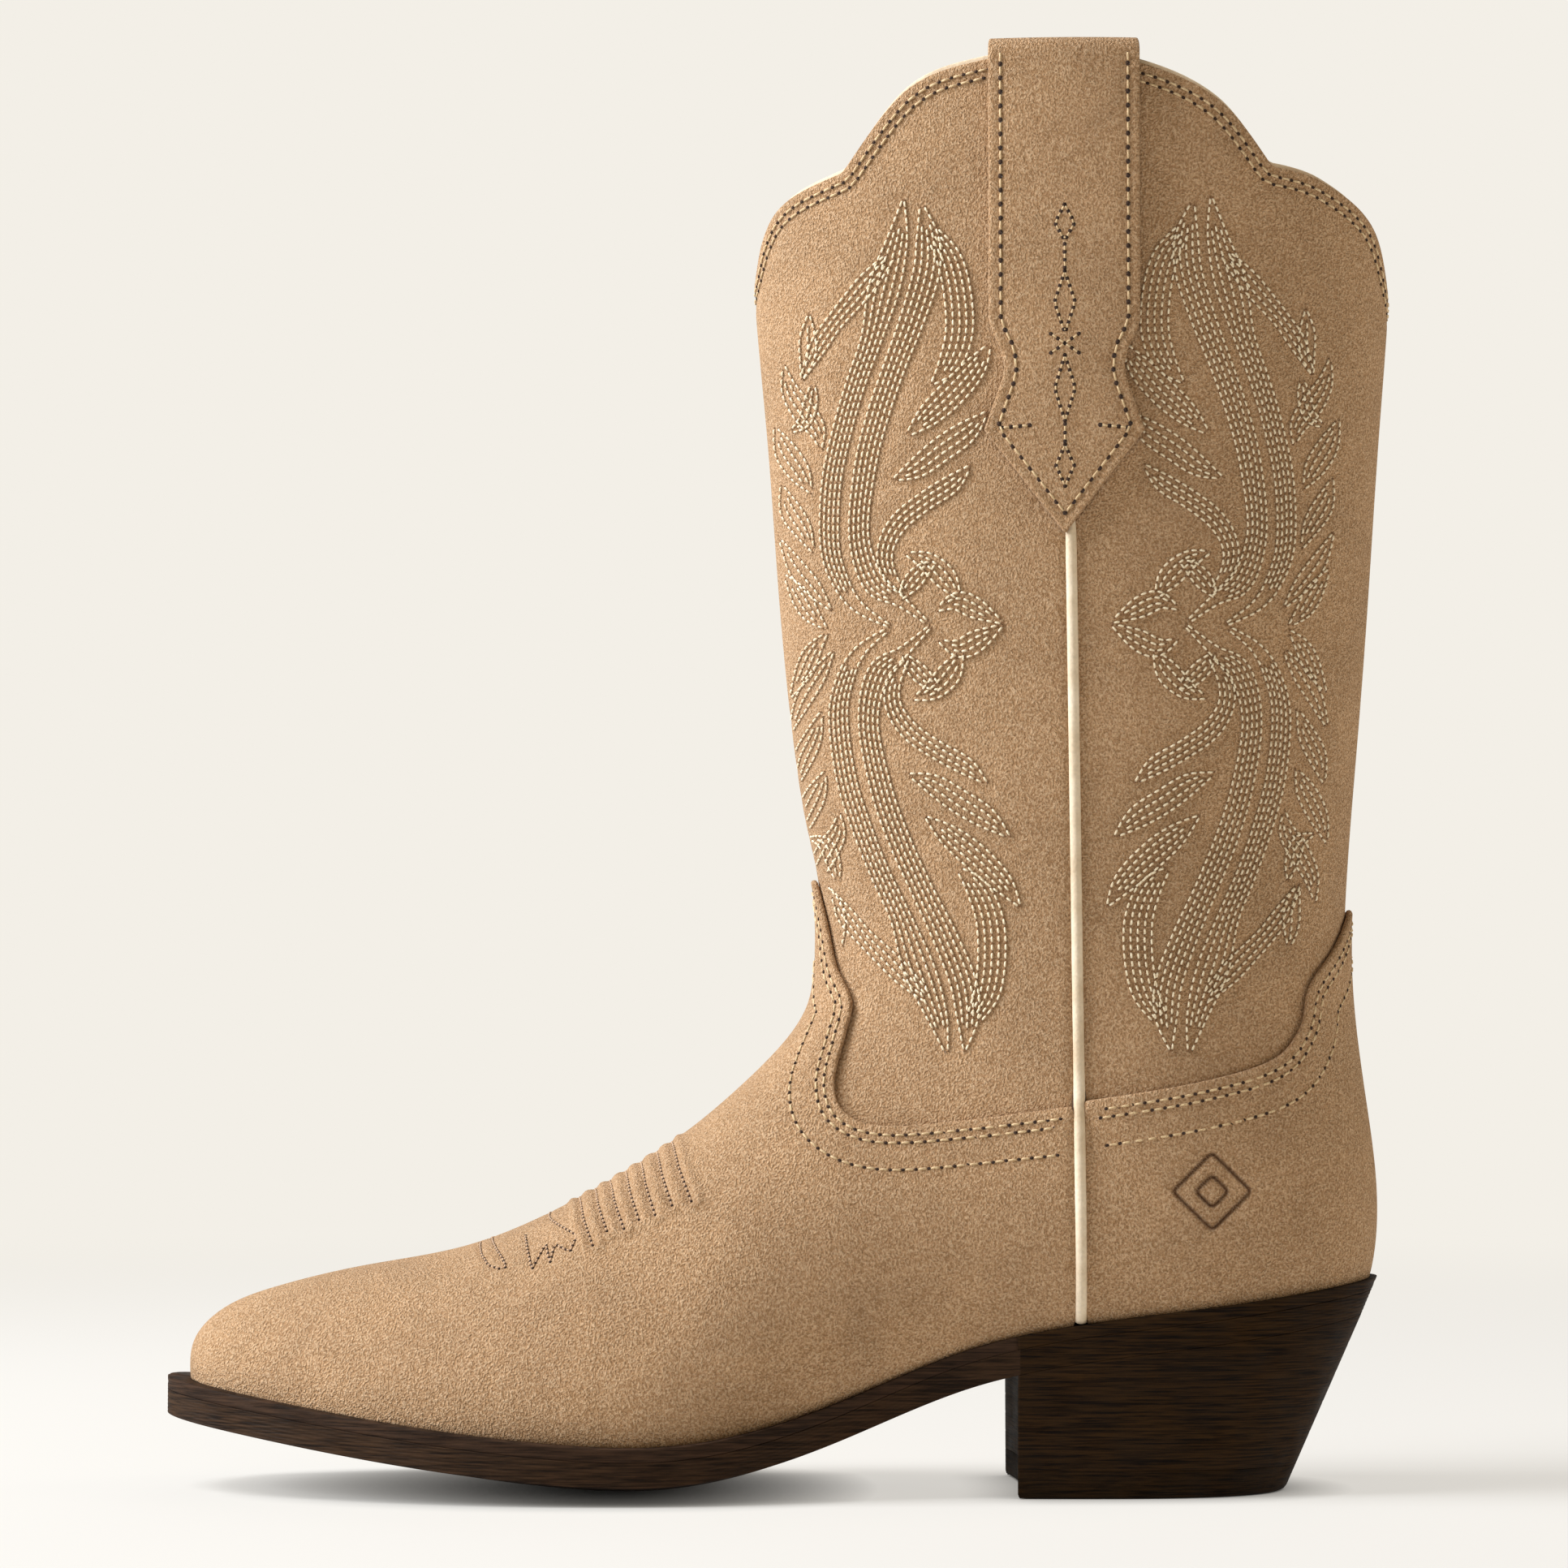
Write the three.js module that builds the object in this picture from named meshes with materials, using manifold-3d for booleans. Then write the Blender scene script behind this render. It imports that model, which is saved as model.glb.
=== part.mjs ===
// Left western boot, in millimetres. +Z is up, the toe points along -X and the outer side of the foot
// faces -Y. The boot stands on Z = 0 and its bounding box is centred on X = 0 and Y = 0.
//
// One smooth foot-and-shaft form drives everything. Each leather layer is a shell between two offsets
// of that form, cut to its own outline as seen from the side. The sole parts are plates that follow
// the form's bottom edge, the feather line.

import * as THREE from "three";
import { mergeVertices } from "three/addons/utils/BufferGeometryUtils.js";
import Module from "manifold-3d";

const wasm = await Module();
wasm.setup();

// ---------------------------------------------------------------- driving dimensions

const GAP = 0.3; // left between parts that touch

// Leather layers, as depths below the outer face of the vamp and counter cover
const COVER_THICKNESS = 1.5;
const PANEL_THICKNESS = 1.5;
const LINING_THICKNESS = 1.2;
const PANEL_DEPTH = COVER_THICKNESS + GAP;
const LINING_DEPTH = PANEL_DEPTH + PANEL_THICKNESS + GAP;
const INSIDE_DEPTH = LINING_DEPTH + LINING_THICKNESS + GAP;
const STRAP_THICKNESS = 1.8;

// Bottom of the boot
const WELT_THICKNESS = 3;
const OUTSOLE_THICKNESS = 5.5;
const INSOLE_THICKNESS = 3;
const FOOTBED_THICKNESS = 4.5;
const HEEL_PAD_THICKNESS = 2;
const HEEL_PAD_INSET = 11;
const HEEL_PAD_FRONT_X = 70;
const HEEL_CAP_THICKNESS = 6;
const WELT_LAP = 3; // how far the welt reaches in under the upper
const WELL_REACH = 20; // how far the cut for the well goes up and down
const TOE_MARGIN = 5.5; // how far the sole stands out past the upper at the toe
const BALL_MARGIN = 4.8;
const BALL_BACK_MARGIN = 3.6;
const WAIST_MARGIN = 1.6;
const SEAT_MARGIN = 1.8;

// Heel
const HEEL_BREAST_X = 56.7;
const HEEL_BOTTOM_BACK_X = 121.5;
const HEEL_BOTTOM_WIDTH = 0.92; // of the width at the top
const HEEL_LEAN = 0.43; // how far the back of the heel and sole comes forward for each unit down

// Shaft and foot features
const SEAM_WIDTH = 3.2; // gap between the front and back panels, filled by the piping
const PIPING_WIDTH = 2.6;
const PIPING_PROUD = 1;
const PIPING_STEP_Z = 92; // where the piping steps in from the covers to the shaft panels
const STRAP_CENTRE_X = 68;
const STRAP_HALF_WIDTH = 17.7;
const STRAP_TOP_Z = 339.2;
const STRAP_TIP_Z = 222.7;
const STRAP_INNER_END_Z = 256;
const TOE_PUFF_BACK_X = -86;
const SHANK_WIDTH = 15;
const SHANK_THICKNESS = 1.2;
const SHANK_FRONT_X = 24;
const SHANK_BACK_X = 112;
const CORK_BACK_X = 14;

// Mesh fineness
const RING_STEPS = 20; // round each section of the form
const ROWS_PER_STATION = 1; // between two stations of the form
const OUTLINE_ROWS = 18; // along each sole plate
const ACROSS_STEPS = 4; // across each sole plate
const CURVE_STEPS = 3; // along each curve of a cut outline
const PIN_SIDES = 8;

// Stations of the form, from toe to top. A section is a closed ring from its ridge point, on the
// front and top line, to its under point, on the bottom and back line. outer and inner are the half
// widths to the two sides of middle, and top and bottom say how round the two ends are (0.5 is an
// ellipse, less is squarer). The rows hold them in this order: ridge, under, outer, inner, middle,
// top, bottom.
const STATIONS = [
  [[-139, 29], [-139, 29], 0, 0, 5, 0.5, 0.5],
  [[-137.1, 36.2], [-137.4, 19], 8, 8, 5, 0.5, 0.5],
  [[-131, 41.9], [-132.3, 11], 15.5, 15.5, 4.8, 0.5, 0.42],
  [[-118.4, 47], [-119.3, 5], 24, 24, 4, 0.48, 0.3],
  [[-97, 52.1], [-98, 3], 33.5, 33, 2.5, 0.46, 0.22],
  [[-73.3, 56.7], [-74, 0], 41, 39.5, 1.2, 0.45, 0.2],
  [[-49.8, 66.3], [-46, -2], 45, 43, 0.2, 0.45, 0.2],
  [[-26.3, 79.9], [-14, -1], 44, 39, 0, 0.45, 0.2],
  [[-10, 92.6], [20, 9], 39, 34.5, 0, 0.46, 0.33],
  [[1.5, 103.8], [58, 20], 36, 33.5, 0, 0.48, 0.38],
  [[7.4, 112], [100, 28], 35, 34, 0, 0.5, 0.33],
  [[9.6, 119.5], [135.3, 38], 34.5, 34, 0, 0.5, 0.38],
  [[10.2, 128], [143.8, 61], 34.5, 34, 0, 0.5, 0.44],
  [[10, 137], [141.9, 90], 34.5, 34.5, 0, 0.5, 0.5],
  [[8.8, 146], [138.8, 118], 34.8, 34.8, 0, 0.5, 0.5],
  [[6.2, 158], [139.4, 145], 35.3, 35.3, 0, 0.5, 0.5],
  [[3.4, 176], [141.8, 173], 36, 36, 0, 0.5, 0.5],
  [[-0.2, 212], [145, 211], 37.2, 37.2, 0, 0.5, 0.5],
  [[-3, 250], [147.9, 250], 38.4, 38.4, 0, 0.5, 0.5],
  [[-6, 284], [150.6, 284], 39.6, 39.6, 0, 0.5, 0.5],
  [[-7, 345], [152, 345], 41, 41, 0, 0.5, 0.5],
].map(([ridge, under, outer, inner, middle, top, bottom]) => (
  { ridge, under, outer, inner, middle, top, bottom }
));

// Height of the feather line, where the upper meets the welt
const FEATHER = [
  [-142, 26],
  [-106, 20.4],
  [-50, 13.8],
  [-22, 13.4],
  [15, 22.3],
  [46, 34.4],
  [72, 40],
  [105, 44.2],
  [144, 50.2],
];

// The side seams, as seen from the side
const SEAM = [
  [20, 71.5],
  [139, 70.5],
  [345, 67.5],
];

// How far the bottom bulges down in the middle, along the boot, as a share of its most
const CROWN_SHAPE = [
  [-140, 0.15],
  [-90, 0.7],
  [-32, 1],
  [20, 0.35],
  [70, 0],
  [144, 0],
];

// ---------------------------------------------------------------- curves

/** A smooth function through points at rising knots: a natural cubic spline. */
function spline(knots, values) {
  const last = knots.length - 1;
  const bend = new Array(last + 1).fill(0);
  const ratio = new Array(last + 1).fill(0);
  for (let i = 1; i < last; i++) {
    const before = knots[i] - knots[i - 1];
    const after = knots[i + 1] - knots[i];
    const change = (values[i + 1] - values[i]) / after - (values[i] - values[i - 1]) / before;
    const weight = 2 * (before + after) - before * ratio[i - 1];
    ratio[i] = after / weight;
    bend[i] = (6 * change - before * bend[i - 1]) / weight;
  }
  for (let i = last - 1; i > 0; i--) bend[i] -= ratio[i] * bend[i + 1];
  return (at) => {
    let i = 0;
    while (i < last - 1 && at > knots[i + 1]) i++;
    const width = knots[i + 1] - knots[i];
    const a = (knots[i + 1] - at) / width;
    const b = (at - knots[i]) / width;
    const curve = ((a ** 3 - a) * bend[i] + (b ** 3 - b) * bend[i + 1]) * (width * width / 6);
    return a * values[i] + b * values[i + 1] + curve;
  };
}

const splineThrough = (points) => spline(points.map((p) => p[0]), points.map((p) => p[1]));
const featherHeight = splineThrough(FEATHER);
const seamX = splineThrough(SEAM);
const crownShape = splineThrough(CROWN_SHAPE);

// ---------------------------------------------------------------- the form

const MIRRORED = 2; // stations reflected past the toe, so that it closes smoothly

/** The station list with the first few reflected through the toe point. */
function reflectedStations() {
  const reflected = STATIONS.slice(1, 1 + MIRRORED).reverse().map((s) => ({
    ridge: s.under,
    under: s.ridge,
    outer: -s.outer,
    inner: -s.inner,
    middle: s.middle,
    top: s.bottom,
    bottom: s.top,
  }));
  return [...reflected, ...STATIONS];
}

/** Turns the stations into one smooth function of u, the station number with its fraction. */
function smoothStations() {
  const stations = reflectedStations();
  const distance = (p, q) => Math.hypot(p[0] - q[0], p[1] - q[1]);
  const knots = [0];
  for (let i = 1; i < stations.length; i++) {
    const [p, q] = [stations[i - 1], stations[i]];
    const step = (distance(p.ridge, q.ridge) + distance(p.under, q.under)) / 2;
    knots.push(knots[i - 1] + step + Math.abs(q.outer - p.outer) / 2);
  }
  const channel = (read) => spline(knots, stations.map(read));
  const channels = {
    ridgeX: channel((s) => s.ridge[0]),
    ridgeZ: channel((s) => s.ridge[1]),
    underX: channel((s) => s.under[0]),
    underZ: channel((s) => s.under[1]),
    outer: channel((s) => s.outer),
    inner: channel((s) => s.inner),
    middle: channel((s) => s.middle),
    top: channel((s) => s.top),
    bottom: channel((s) => s.bottom),
  };
  return (u) => {
    const place = Math.min(Math.max(u + MIRRORED, 0), stations.length - 1.000001);
    const i = Math.floor(place);
    const knot = THREE.MathUtils.lerp(knots[i], knots[i + 1], place - i);
    return Object.fromEntries(Object.entries(channels).map(([name, at]) => [name, at(knot)]));
  };
}

const stationAt = smoothStations();
const LAST_U = STATIONS.length - 1;

/** A point of the form: u runs from toe to top, and down from 0 at the ridge to 1 underneath. */
function formPointAt(u, down, side) {
  const s = stationAt(u);
  const peak = s.top / (s.top + s.bottom);
  const most = peak ** s.top * (1 - peak) ** s.bottom;
  const share = (down ** s.top * (1 - down) ** s.bottom) / most;
  const width = side < 0 ? -s.outer : s.inner;
  return new THREE.Vector3(
    THREE.MathUtils.lerp(s.ridgeX, s.underX, down),
    s.middle + width * share,
    THREE.MathUtils.lerp(s.ridgeZ, s.underZ, down),
  );
}

/** The same, by angle round the ring, from the ridge down the outer side and up the inner side. */
function formPoint(u, angle) {
  return formPointAt(u, (1 - Math.cos(angle)) / 2, Math.sin(angle) < 0 ? 1 : -1);
}

function formNormal(u, angle) {
  const small = 0.01;
  const along = formPoint(Math.min(u + small, LAST_U), angle).sub(formPoint(u - small, angle));
  const round = formPoint(u, angle + small).sub(formPoint(u, angle - small));
  return round.cross(along).normalize();
}

/** Every ring of the form, as points with normals; the toe ring is one point. */
function formRings() {
  const rings = [];
  for (let row = 0; row <= LAST_U * ROWS_PER_STATION; row++) {
    const u = row / ROWS_PER_STATION;
    const ring = [];
    for (let i = 0; i < RING_STEPS; i++) {
      const angle = (2 * Math.PI * i) / RING_STEPS;
      const normal = row === 0 ? new THREE.Vector3(-1, 0, 0) : formNormal(u, angle);
      ring.push({ point: formPoint(u, angle), normal });
    }
    rings.push(ring);
  }
  return rings;
}

const RINGS = formRings();
const solidsByOffset = new Map();

/** The whole form as a solid, grown outwards by offset, or shrunk where it is below zero. */
function form(offset) {
  if (!solidsByOffset.has(offset)) {
    const positions = [];
    const faces = [];
    for (const ring of RINGS) {
      for (const { point, normal } of ring) {
        positions.push(...point.clone().addScaledVector(normal, offset).toArray());
      }
    }
    for (let row = 0; row + 1 < RINGS.length; row++) {
      for (let i = 0; i < RING_STEPS; i++) {
        const next = (i + 1) % RING_STEPS;
        const a = row * RING_STEPS + i;
        const b = row * RING_STEPS + next;
        faces.push(a, b, a + RING_STEPS, b, b + RING_STEPS, a + RING_STEPS);
      }
    }
    const top = (RINGS.length - 1) * RING_STEPS;
    for (let i = 1; i + 1 < RING_STEPS; i++) faces.push(top, top + i, top + i + 1);
    solidsByOffset.set(offset, solidFrom(positions, faces));
  }
  return solidsByOffset.get(offset);
}

// ---------------------------------------------------------------- solids

/** A manifold solid from a geometry, once its equal vertices are merged. */
function solid(geometry) {
  const bare = geometry.clone();
  bare.deleteAttribute("normal");
  bare.deleteAttribute("uv");
  const merged = mergeVertices(bare, 1e-4);
  const index = merged.index.array;
  const triVerts = [];
  for (let i = 0; i < index.length; i += 3) {
    const [a, b, c] = [index[i], index[i + 1], index[i + 2]];
    if (a !== b && b !== c && c !== a) triVerts.push(a, b, c);
  }
  const mesh = new wasm.Mesh({
    numProp: 3,
    vertProperties: new Float32Array(merged.attributes.position.array),
    triVerts: new Uint32Array(triVerts),
  });
  return new wasm.Manifold(mesh);
}

function solidFrom(positions, faces) {
  const geometry = new THREE.BufferGeometry();
  geometry.setAttribute("position", new THREE.Float32BufferAttribute(positions, 3));
  geometry.setIndex(faces);
  return solid(geometry);
}

const shell = (outerOffset, innerOffset) => form(outerOffset).subtract(form(innerOffset));

const REACH = 260; // longer than the boot is wide, for cutting blocks

/** A cutting block: an outline drawn in X and Z, running right through the boot along Y. */
function sideBlock(shape, from = -REACH / 2, to = REACH / 2) {
  const options = { depth: to - from, bevelEnabled: false, curveSegments: CURVE_STEPS };
  const geometry = new THREE.ExtrudeGeometry(shape, options);
  geometry.rotateX(Math.PI / 2);
  geometry.translate(0, to, 0);
  return solid(geometry);
}

function outline(points) {
  return new THREE.Shape(points.map(([x, z]) => new THREE.Vector2(x, z)));
}

const block = (points) => sideBlock(outline(points));
const outerHalf = sideBlock(outline([[-200, -50], [200, -50], [200, 400], [-200, 400]]), -REACH / 2, 0);
const innerHalf = sideBlock(outline([[-200, -50], [200, -50], [200, 400], [-200, 400]]), 0, REACH / 2);

/** Points of a smooth curve through the given ones. */
function smoothCurve(points) {
  const curve = new THREE.SplineCurve(points.map(([x, z]) => new THREE.Vector2(x, z)));
  return curve.getPoints(CURVE_STEPS * (points.length - 1)).map((p) => [p.x, p.y]);
}

// ---------------------------------------------------------------- plates of the sole

/** Where the form crosses the feather line, on one side, at u. */
function featherPoint(u, side) {
  let [above, below] = [0.3, 1];
  for (let i = 0; i < 40; i++) {
    const down = (above + below) / 2;
    const point = formPointAt(u, down, side);
    if (point.z > featherHeight(point.x)) above = down;
    else below = down;
  }
  return formPointAt(u, (above + below) / 2, side);
}

/** The u between two others where the form's under line crosses the feather line. */
function underCrossing(below, above) {
  for (let i = 0; i < 40; i++) {
    const u = (below + above) / 2;
    const under = formPointAt(u, 1, 1);
    if (under.z < featherHeight(under.x)) below = u;
    else above = u;
  }
  return below;
}

/** Half widths of the upper at the feather line, as dense points from toe to heel. */
function featherOutline() {
  const start = underCrossing(3, 0);
  const end = underCrossing(8, 14);
  const count = 240;
  const sides = { outer: [], inner: [] };
  for (let i = 0; i <= count; i++) {
    const u = THREE.MathUtils.lerp(start, end, (1 - Math.cos((Math.PI * i) / count)) / 2);
    const outer = featherPoint(u, -1);
    const inner = featherPoint(u, 1);
    sides.outer.push([outer.x, outer.y]);
    sides.inner.push([inner.x, inner.y]);
  }
  return sides;
}

const FEATHER_OUTLINE = featherOutline();
const TOE_X = FEATHER_OUTLINE.outer[0][0];
const SEAT_X = FEATHER_OUTLINE.outer.at(-1)[0];

// Every plate has its rows at the same places, so that stacked plates lie parallel, and a few of its
// own where its outline rounds off at the ends.
const SHARED_ROWS = Array.from({ length: OUTLINE_ROWS + 1 }, (_, i) => (
  THREE.MathUtils.lerp(TOE_X, SEAT_X, (1 - Math.cos((Math.PI * i) / OUTLINE_ROWS)) / 2)
)).concat(HEEL_BREAST_X).sort((a, b) => a - b);
const END_STEPS = [0, 0.5, 2.2, 5];

/** The outline's y at x, on a dense polyline with rising x. */
function outlineY(points, x) {
  let i = 0;
  while (i < points.length - 2 && points[i + 1][0] < x) i++;
  const [[x0, y0], [x1, y1]] = [points[i], points[i + 1]];
  const share = THREE.MathUtils.clamp((x - x0) / (x1 - x0), 0, 1);
  return THREE.MathUtils.lerp(y0, y1, share);
}

/** Moves each point of an open line outwards by amount(x), to the left of its direction. */
function grown(points, amount, turn) {
  return points.map(([x, y], i) => {
    const [xa, ya] = points[Math.max(i - 1, 0)];
    const [xb, yb] = points[Math.min(i + 1, points.length - 1)];
    const length = Math.hypot(xb - xa, yb - ya);
    const isEnd = i === 0 || i === points.length - 1;
    const nx = isEnd ? Math.sign(i - 0.5) : (-turn * (yb - ya)) / length;
    const ny = isEnd ? 0 : (turn * (xb - xa)) / length;
    return [x + nx * amount(x), y + ny * amount(x)];
  });
}

/** Pairs of outer and inner points along the boot, grown out from the feather line by amount(x). */
function plateRows(amount, from = -Infinity, to = Infinity) {
  const outer = grown(FEATHER_OUTLINE.outer, amount, -1);
  const inner = grown(FEATHER_OUTLINE.inner, amount, 1);
  const start = Math.max(from, outer[0][0]);
  const end = Math.min(to, outer.at(-1)[0]);
  const front = start === from ? [start] : END_STEPS.map((step) => start + step);
  const back = end === to ? [end] : END_STEPS.map((step) => end - step).reverse();
  const middle = SHARED_ROWS.filter((x) => x > front.at(-1) + 1 && x < back[0] - 1);
  return [...front, ...middle, ...back].map((x) => [
    [x, outlineY(outer, x)],
    [x, outlineY(inner, x)],
  ]);
}

/** A closed plate: a grid between each row's two points, from one height to another. */
function plate(lowRows, lowZ, highZ, highRows = lowRows) {
  const positions = [];
  const faces = [];
  const stride = ACROSS_STEPS + 1;
  for (const [rows, height] of [[lowRows, lowZ], [highRows, highZ]]) {
    for (const [outer, inner] of rows) {
      for (let i = 0; i <= ACROSS_STEPS; i++) {
        const x = THREE.MathUtils.lerp(outer[0], inner[0], i / ACROSS_STEPS);
        const y = THREE.MathUtils.lerp(outer[1], inner[1], i / ACROSS_STEPS);
        positions.push(x, y, height(x, y));
      }
    }
  }
  const upper = lowRows.length * stride;
  const quad = (a, b, c, d) => faces.push(a, b, c, a, c, d);
  for (let row = 0; row + 1 < lowRows.length; row++) {
    for (let i = 0; i < ACROSS_STEPS; i++) {
      const a = row * stride + i;
      quad(a, a + 1, a + 1 + stride, a + stride);
      quad(upper + a, upper + a + stride, upper + a + 1 + stride, upper + a + 1);
    }
    const left = row * stride;
    const right = left + ACROSS_STEPS;
    quad(left, left + stride, upper + left + stride, upper + left);
    quad(right, upper + right, upper + right + stride, right + stride);
  }
  const back = (lowRows.length - 1) * stride;
  for (let i = 0; i < ACROSS_STEPS; i++) {
    quad(i, upper + i, upper + i + 1, i + 1);
    quad(back + i, back + i + 1, upper + back + i + 1, upper + back + i);
  }
  return solidFrom(positions, faces);
}

/** How far the bottom bulges below the feather line at x and y. */
function crownShare(x, y) {
  const low = outlineY(FEATHER_OUTLINE.outer, x);
  const high = outlineY(FEATHER_OUTLINE.inner, x);
  const half = Math.max((high - low) / 2, 1);
  const across = (y - (high + low) / 2) / half;
  return Math.max(crownShape(x), 0) * Math.max(1 - across * across, 0);
}

const SOLE_DEPTH = WELT_THICKNESS + OUTSOLE_THICKNESS + 2 * GAP;

/** The most crown, such that the tread's lowest point just touches the ground. */
function fullCrown() {
  let most = Infinity;
  for (let x = -90; x < 20; x += 0.5) {
    const height = featherHeight(x) - SOLE_DEPTH;
    most = Math.min(most, height / crownShape(x));
  }
  return most;
}

const CROWN = fullCrown();

/** A surface at a height above the feather line, with the crown of the bottom. */
const level = (height) => (x, y) => featherHeight(x) + height - CROWN * crownShare(x, y);

// ---------------------------------------------------------------- cut outlines, seen from the side

const FAR = 200; // beyond every side of the boot
const BELOW = -60; // lower than the whole boot
const ABOVE = 400; // higher than the whole boot
const SEAM_TOP_Z = 345; // where the side seams' line ends, above the shaft
const JOIN = 0.1; // how far two joined pieces of one solid overlap
const FEATHER_STEP = 5;

/** Follows the side seam up or down, moved sideways. */
function seamLine(fromZ, toZ, shift) {
  const steps = 6;
  const line = [];
  for (let i = 0; i <= steps; i++) {
    const z = THREE.MathUtils.lerp(fromZ, toZ, i / steps);
    line.push([seamX(z) + shift, z]);
  }
  return line;
}

// The shaft's top edge from front to back: two low lobes with a high crest between them
const FRONT_LOBE = [[-14, 262], [-6, 281], [-2.2, 297], [3.5, 304.4], [16.6, 309.3]];
const CREST = [
  [16.6, 309.3],
  [31.4, 327.4],
  [48, 333.4],
  [68, 334.8],
  [88, 332.2],
  [105, 324.4],
  [117.3, 309.9],
];
const BACK_LOBE = [[117.3, 309.9], [130, 307.3], [143.3, 298.5], [149.5, 281], [158, 262]];

/** Everything below the curved top edge of the shaft. */
function belowTopline() {
  const edge = [FRONT_LOBE, CREST, BACK_LOBE].flatMap((points) => smoothCurve(points)).reverse();
  const sideZ = FRONT_LOBE[0][1];
  return block([[FAR, BELOW], [FAR, sideZ], ...edge, [-FAR, sideZ], [-FAR, BELOW]]);
}

/** Everything above the feather line. */
function aboveFeather(clearance) {
  const line = [];
  for (let x = -FAR; x <= FAR; x += FEATHER_STEP) line.push([x, featherHeight(x) + clearance]);
  return block([...line, [FAR, ABOVE], [-FAR, ABOVE]]);
}

const VAMP_EDGE = smoothCurve([
  [68.9, 89.6],
  [45, 86.7],
  [26, 85.4],
  [16.6, 88.6],
  [14, 96],
  [16.5, 107.5],
  [17.8, 115],
  [14.2, 123],
  [12, 133],
  [9.5, 143],
]);
const COUNTER_EDGE = smoothCurve([
  [72.9, 91],
  [98.6, 95.2],
  [117, 100.5],
  [124.5, 108.5],
  [127, 118],
  [134.5, 128],
  [141, 140.5],
]);

const VAMP_TOP_Z = 147;
const COUNTER_TOP_Z = 144;

function vampBlock() {
  const seam = seamLine(BELOW, 88, -SEAM_WIDTH / 2);
  return block([[-FAR, BELOW], ...seam, ...VAMP_EDGE, [0, VAMP_TOP_Z], [-FAR, VAMP_TOP_Z]]);
}

function counterBlock() {
  const seam = seamLine(90, BELOW, SEAM_WIDTH / 2);
  const top = [[FAR, COUNTER_TOP_Z], [150, COUNTER_TOP_Z]];
  return block([...seam, [FAR, BELOW], ...top, ...[...COUNTER_EDGE].reverse()]);
}

// Lower edges of the shaft panels, hidden under the vamp and the counter cover
const FRONT_PANEL_EDGE = [[-60, 128], [-4, 98], [14, 80], [30, 75], [60, 77.5]];
const BACK_PANEL_EDGE = [[80, 80], [112, 85], [160, 97]];
// Lower edges of the shaft linings
const FRONT_LINING_EDGE = [[-60, 142], [-2, 112], [20, 94], [60, 92]];
const BACK_LINING_EDGE = [[80, 92], [112, 97], [160, 109]];

/** Front of the side seams and above an edge, both moved by a clearance. */
function frontUpperBlock(edge, clearance) {
  const moved = edge.map(([x, z]) => [x, z + clearance]);
  const lastZ = moved.at(-1)[1];
  const seam = seamLine(lastZ, SEAM_TOP_Z, -clearance);
  const top = [[seamX(SEAM_TOP_Z) - clearance, ABOVE], [-FAR, ABOVE]];
  return block([[-FAR, moved[0][1]], ...moved, ...seam, ...top]);
}

function frontLowerBlock(edge, clearance) {
  const moved = edge.map(([x, z]) => [x, z - clearance]);
  const lastZ = moved.at(-1)[1];
  const seam = seamLine(BELOW, lastZ, -clearance);
  return block([[-FAR, BELOW], ...seam, ...moved.reverse(), [-FAR, edge[0][1] - clearance]]);
}

function backUpperBlock(edge, clearance) {
  const moved = edge.map(([x, z]) => [x, z + clearance]);
  const firstZ = moved[0][1];
  const seam = seamLine(SEAM_TOP_Z, firstZ, clearance);
  const top = [seamX(SEAM_TOP_Z) + clearance, ABOVE];
  return block([top, ...seam, ...moved, [FAR, moved.at(-1)[1]], [FAR, ABOVE]]);
}

function backLowerBlock(edge, clearance) {
  const moved = edge.map(([x, z]) => [x, z - clearance]);
  const firstZ = moved[0][1];
  const seam = seamLine(firstZ, BELOW, clearance);
  return block([...seam, [FAR, BELOW], [FAR, moved.at(-1)[1]], ...moved.reverse()]);
}

/** A block between two x positions. */
const between = (from, to) => block([[from, BELOW], [to, BELOW], [to, ABOVE], [from, ABOVE]]);
const bandZ = (from, to) => block([[-FAR, from], [FAR, from], [FAR, to], [-FAR, to]]);

// ---------------------------------------------------------------- the upper

const upperSpace = belowTopline().intersect(aboveFeather(GAP / 2));

/** One layer of the upper, at a depth under the form's surface, inside a region. */
function layer(depth, thickness, region) {
  return shell(-depth, -depth - thickness).intersect(region).intersect(upperSpace);
}

const panelLayer = (region) => layer(PANEL_DEPTH, PANEL_THICKNESS, region);
const liningLayer = (region) => layer(LINING_DEPTH, LINING_THICKNESS, region);
const halfSeam = SEAM_WIDTH / 2;

const vamp = () => layer(0, COVER_THICKNESS, vampBlock());
const counterCover = () => layer(0, COVER_THICKNESS, counterBlock());
const frontShaftPanel = () => panelLayer(frontUpperBlock(FRONT_PANEL_EDGE, halfSeam));
const backShaftPanel = () => panelLayer(backUpperBlock(BACK_PANEL_EDGE, halfSeam));
const heelStiffener = () => panelLayer(backLowerBlock(BACK_PANEL_EDGE, halfSeam));
const toePuff = () => panelLayer(between(-FAR, TOE_PUFF_BACK_X));

function vampBacker() {
  const region = frontLowerBlock(FRONT_PANEL_EDGE, halfSeam);
  return panelLayer(region.intersect(between(TOE_PUFF_BACK_X + 2 * GAP, FAR)));
}

const vampLining = () => liningLayer(frontLowerBlock(FRONT_LINING_EDGE, GAP));
const counterLining = () => liningLayer(backLowerBlock(BACK_LINING_EDGE, GAP));
const shaftLiningFront = () => liningLayer(frontUpperBlock(FRONT_LINING_EDGE, GAP));
const shaftLiningBack = () => liningLayer(backUpperBlock(BACK_LINING_EDGE, GAP));

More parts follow.
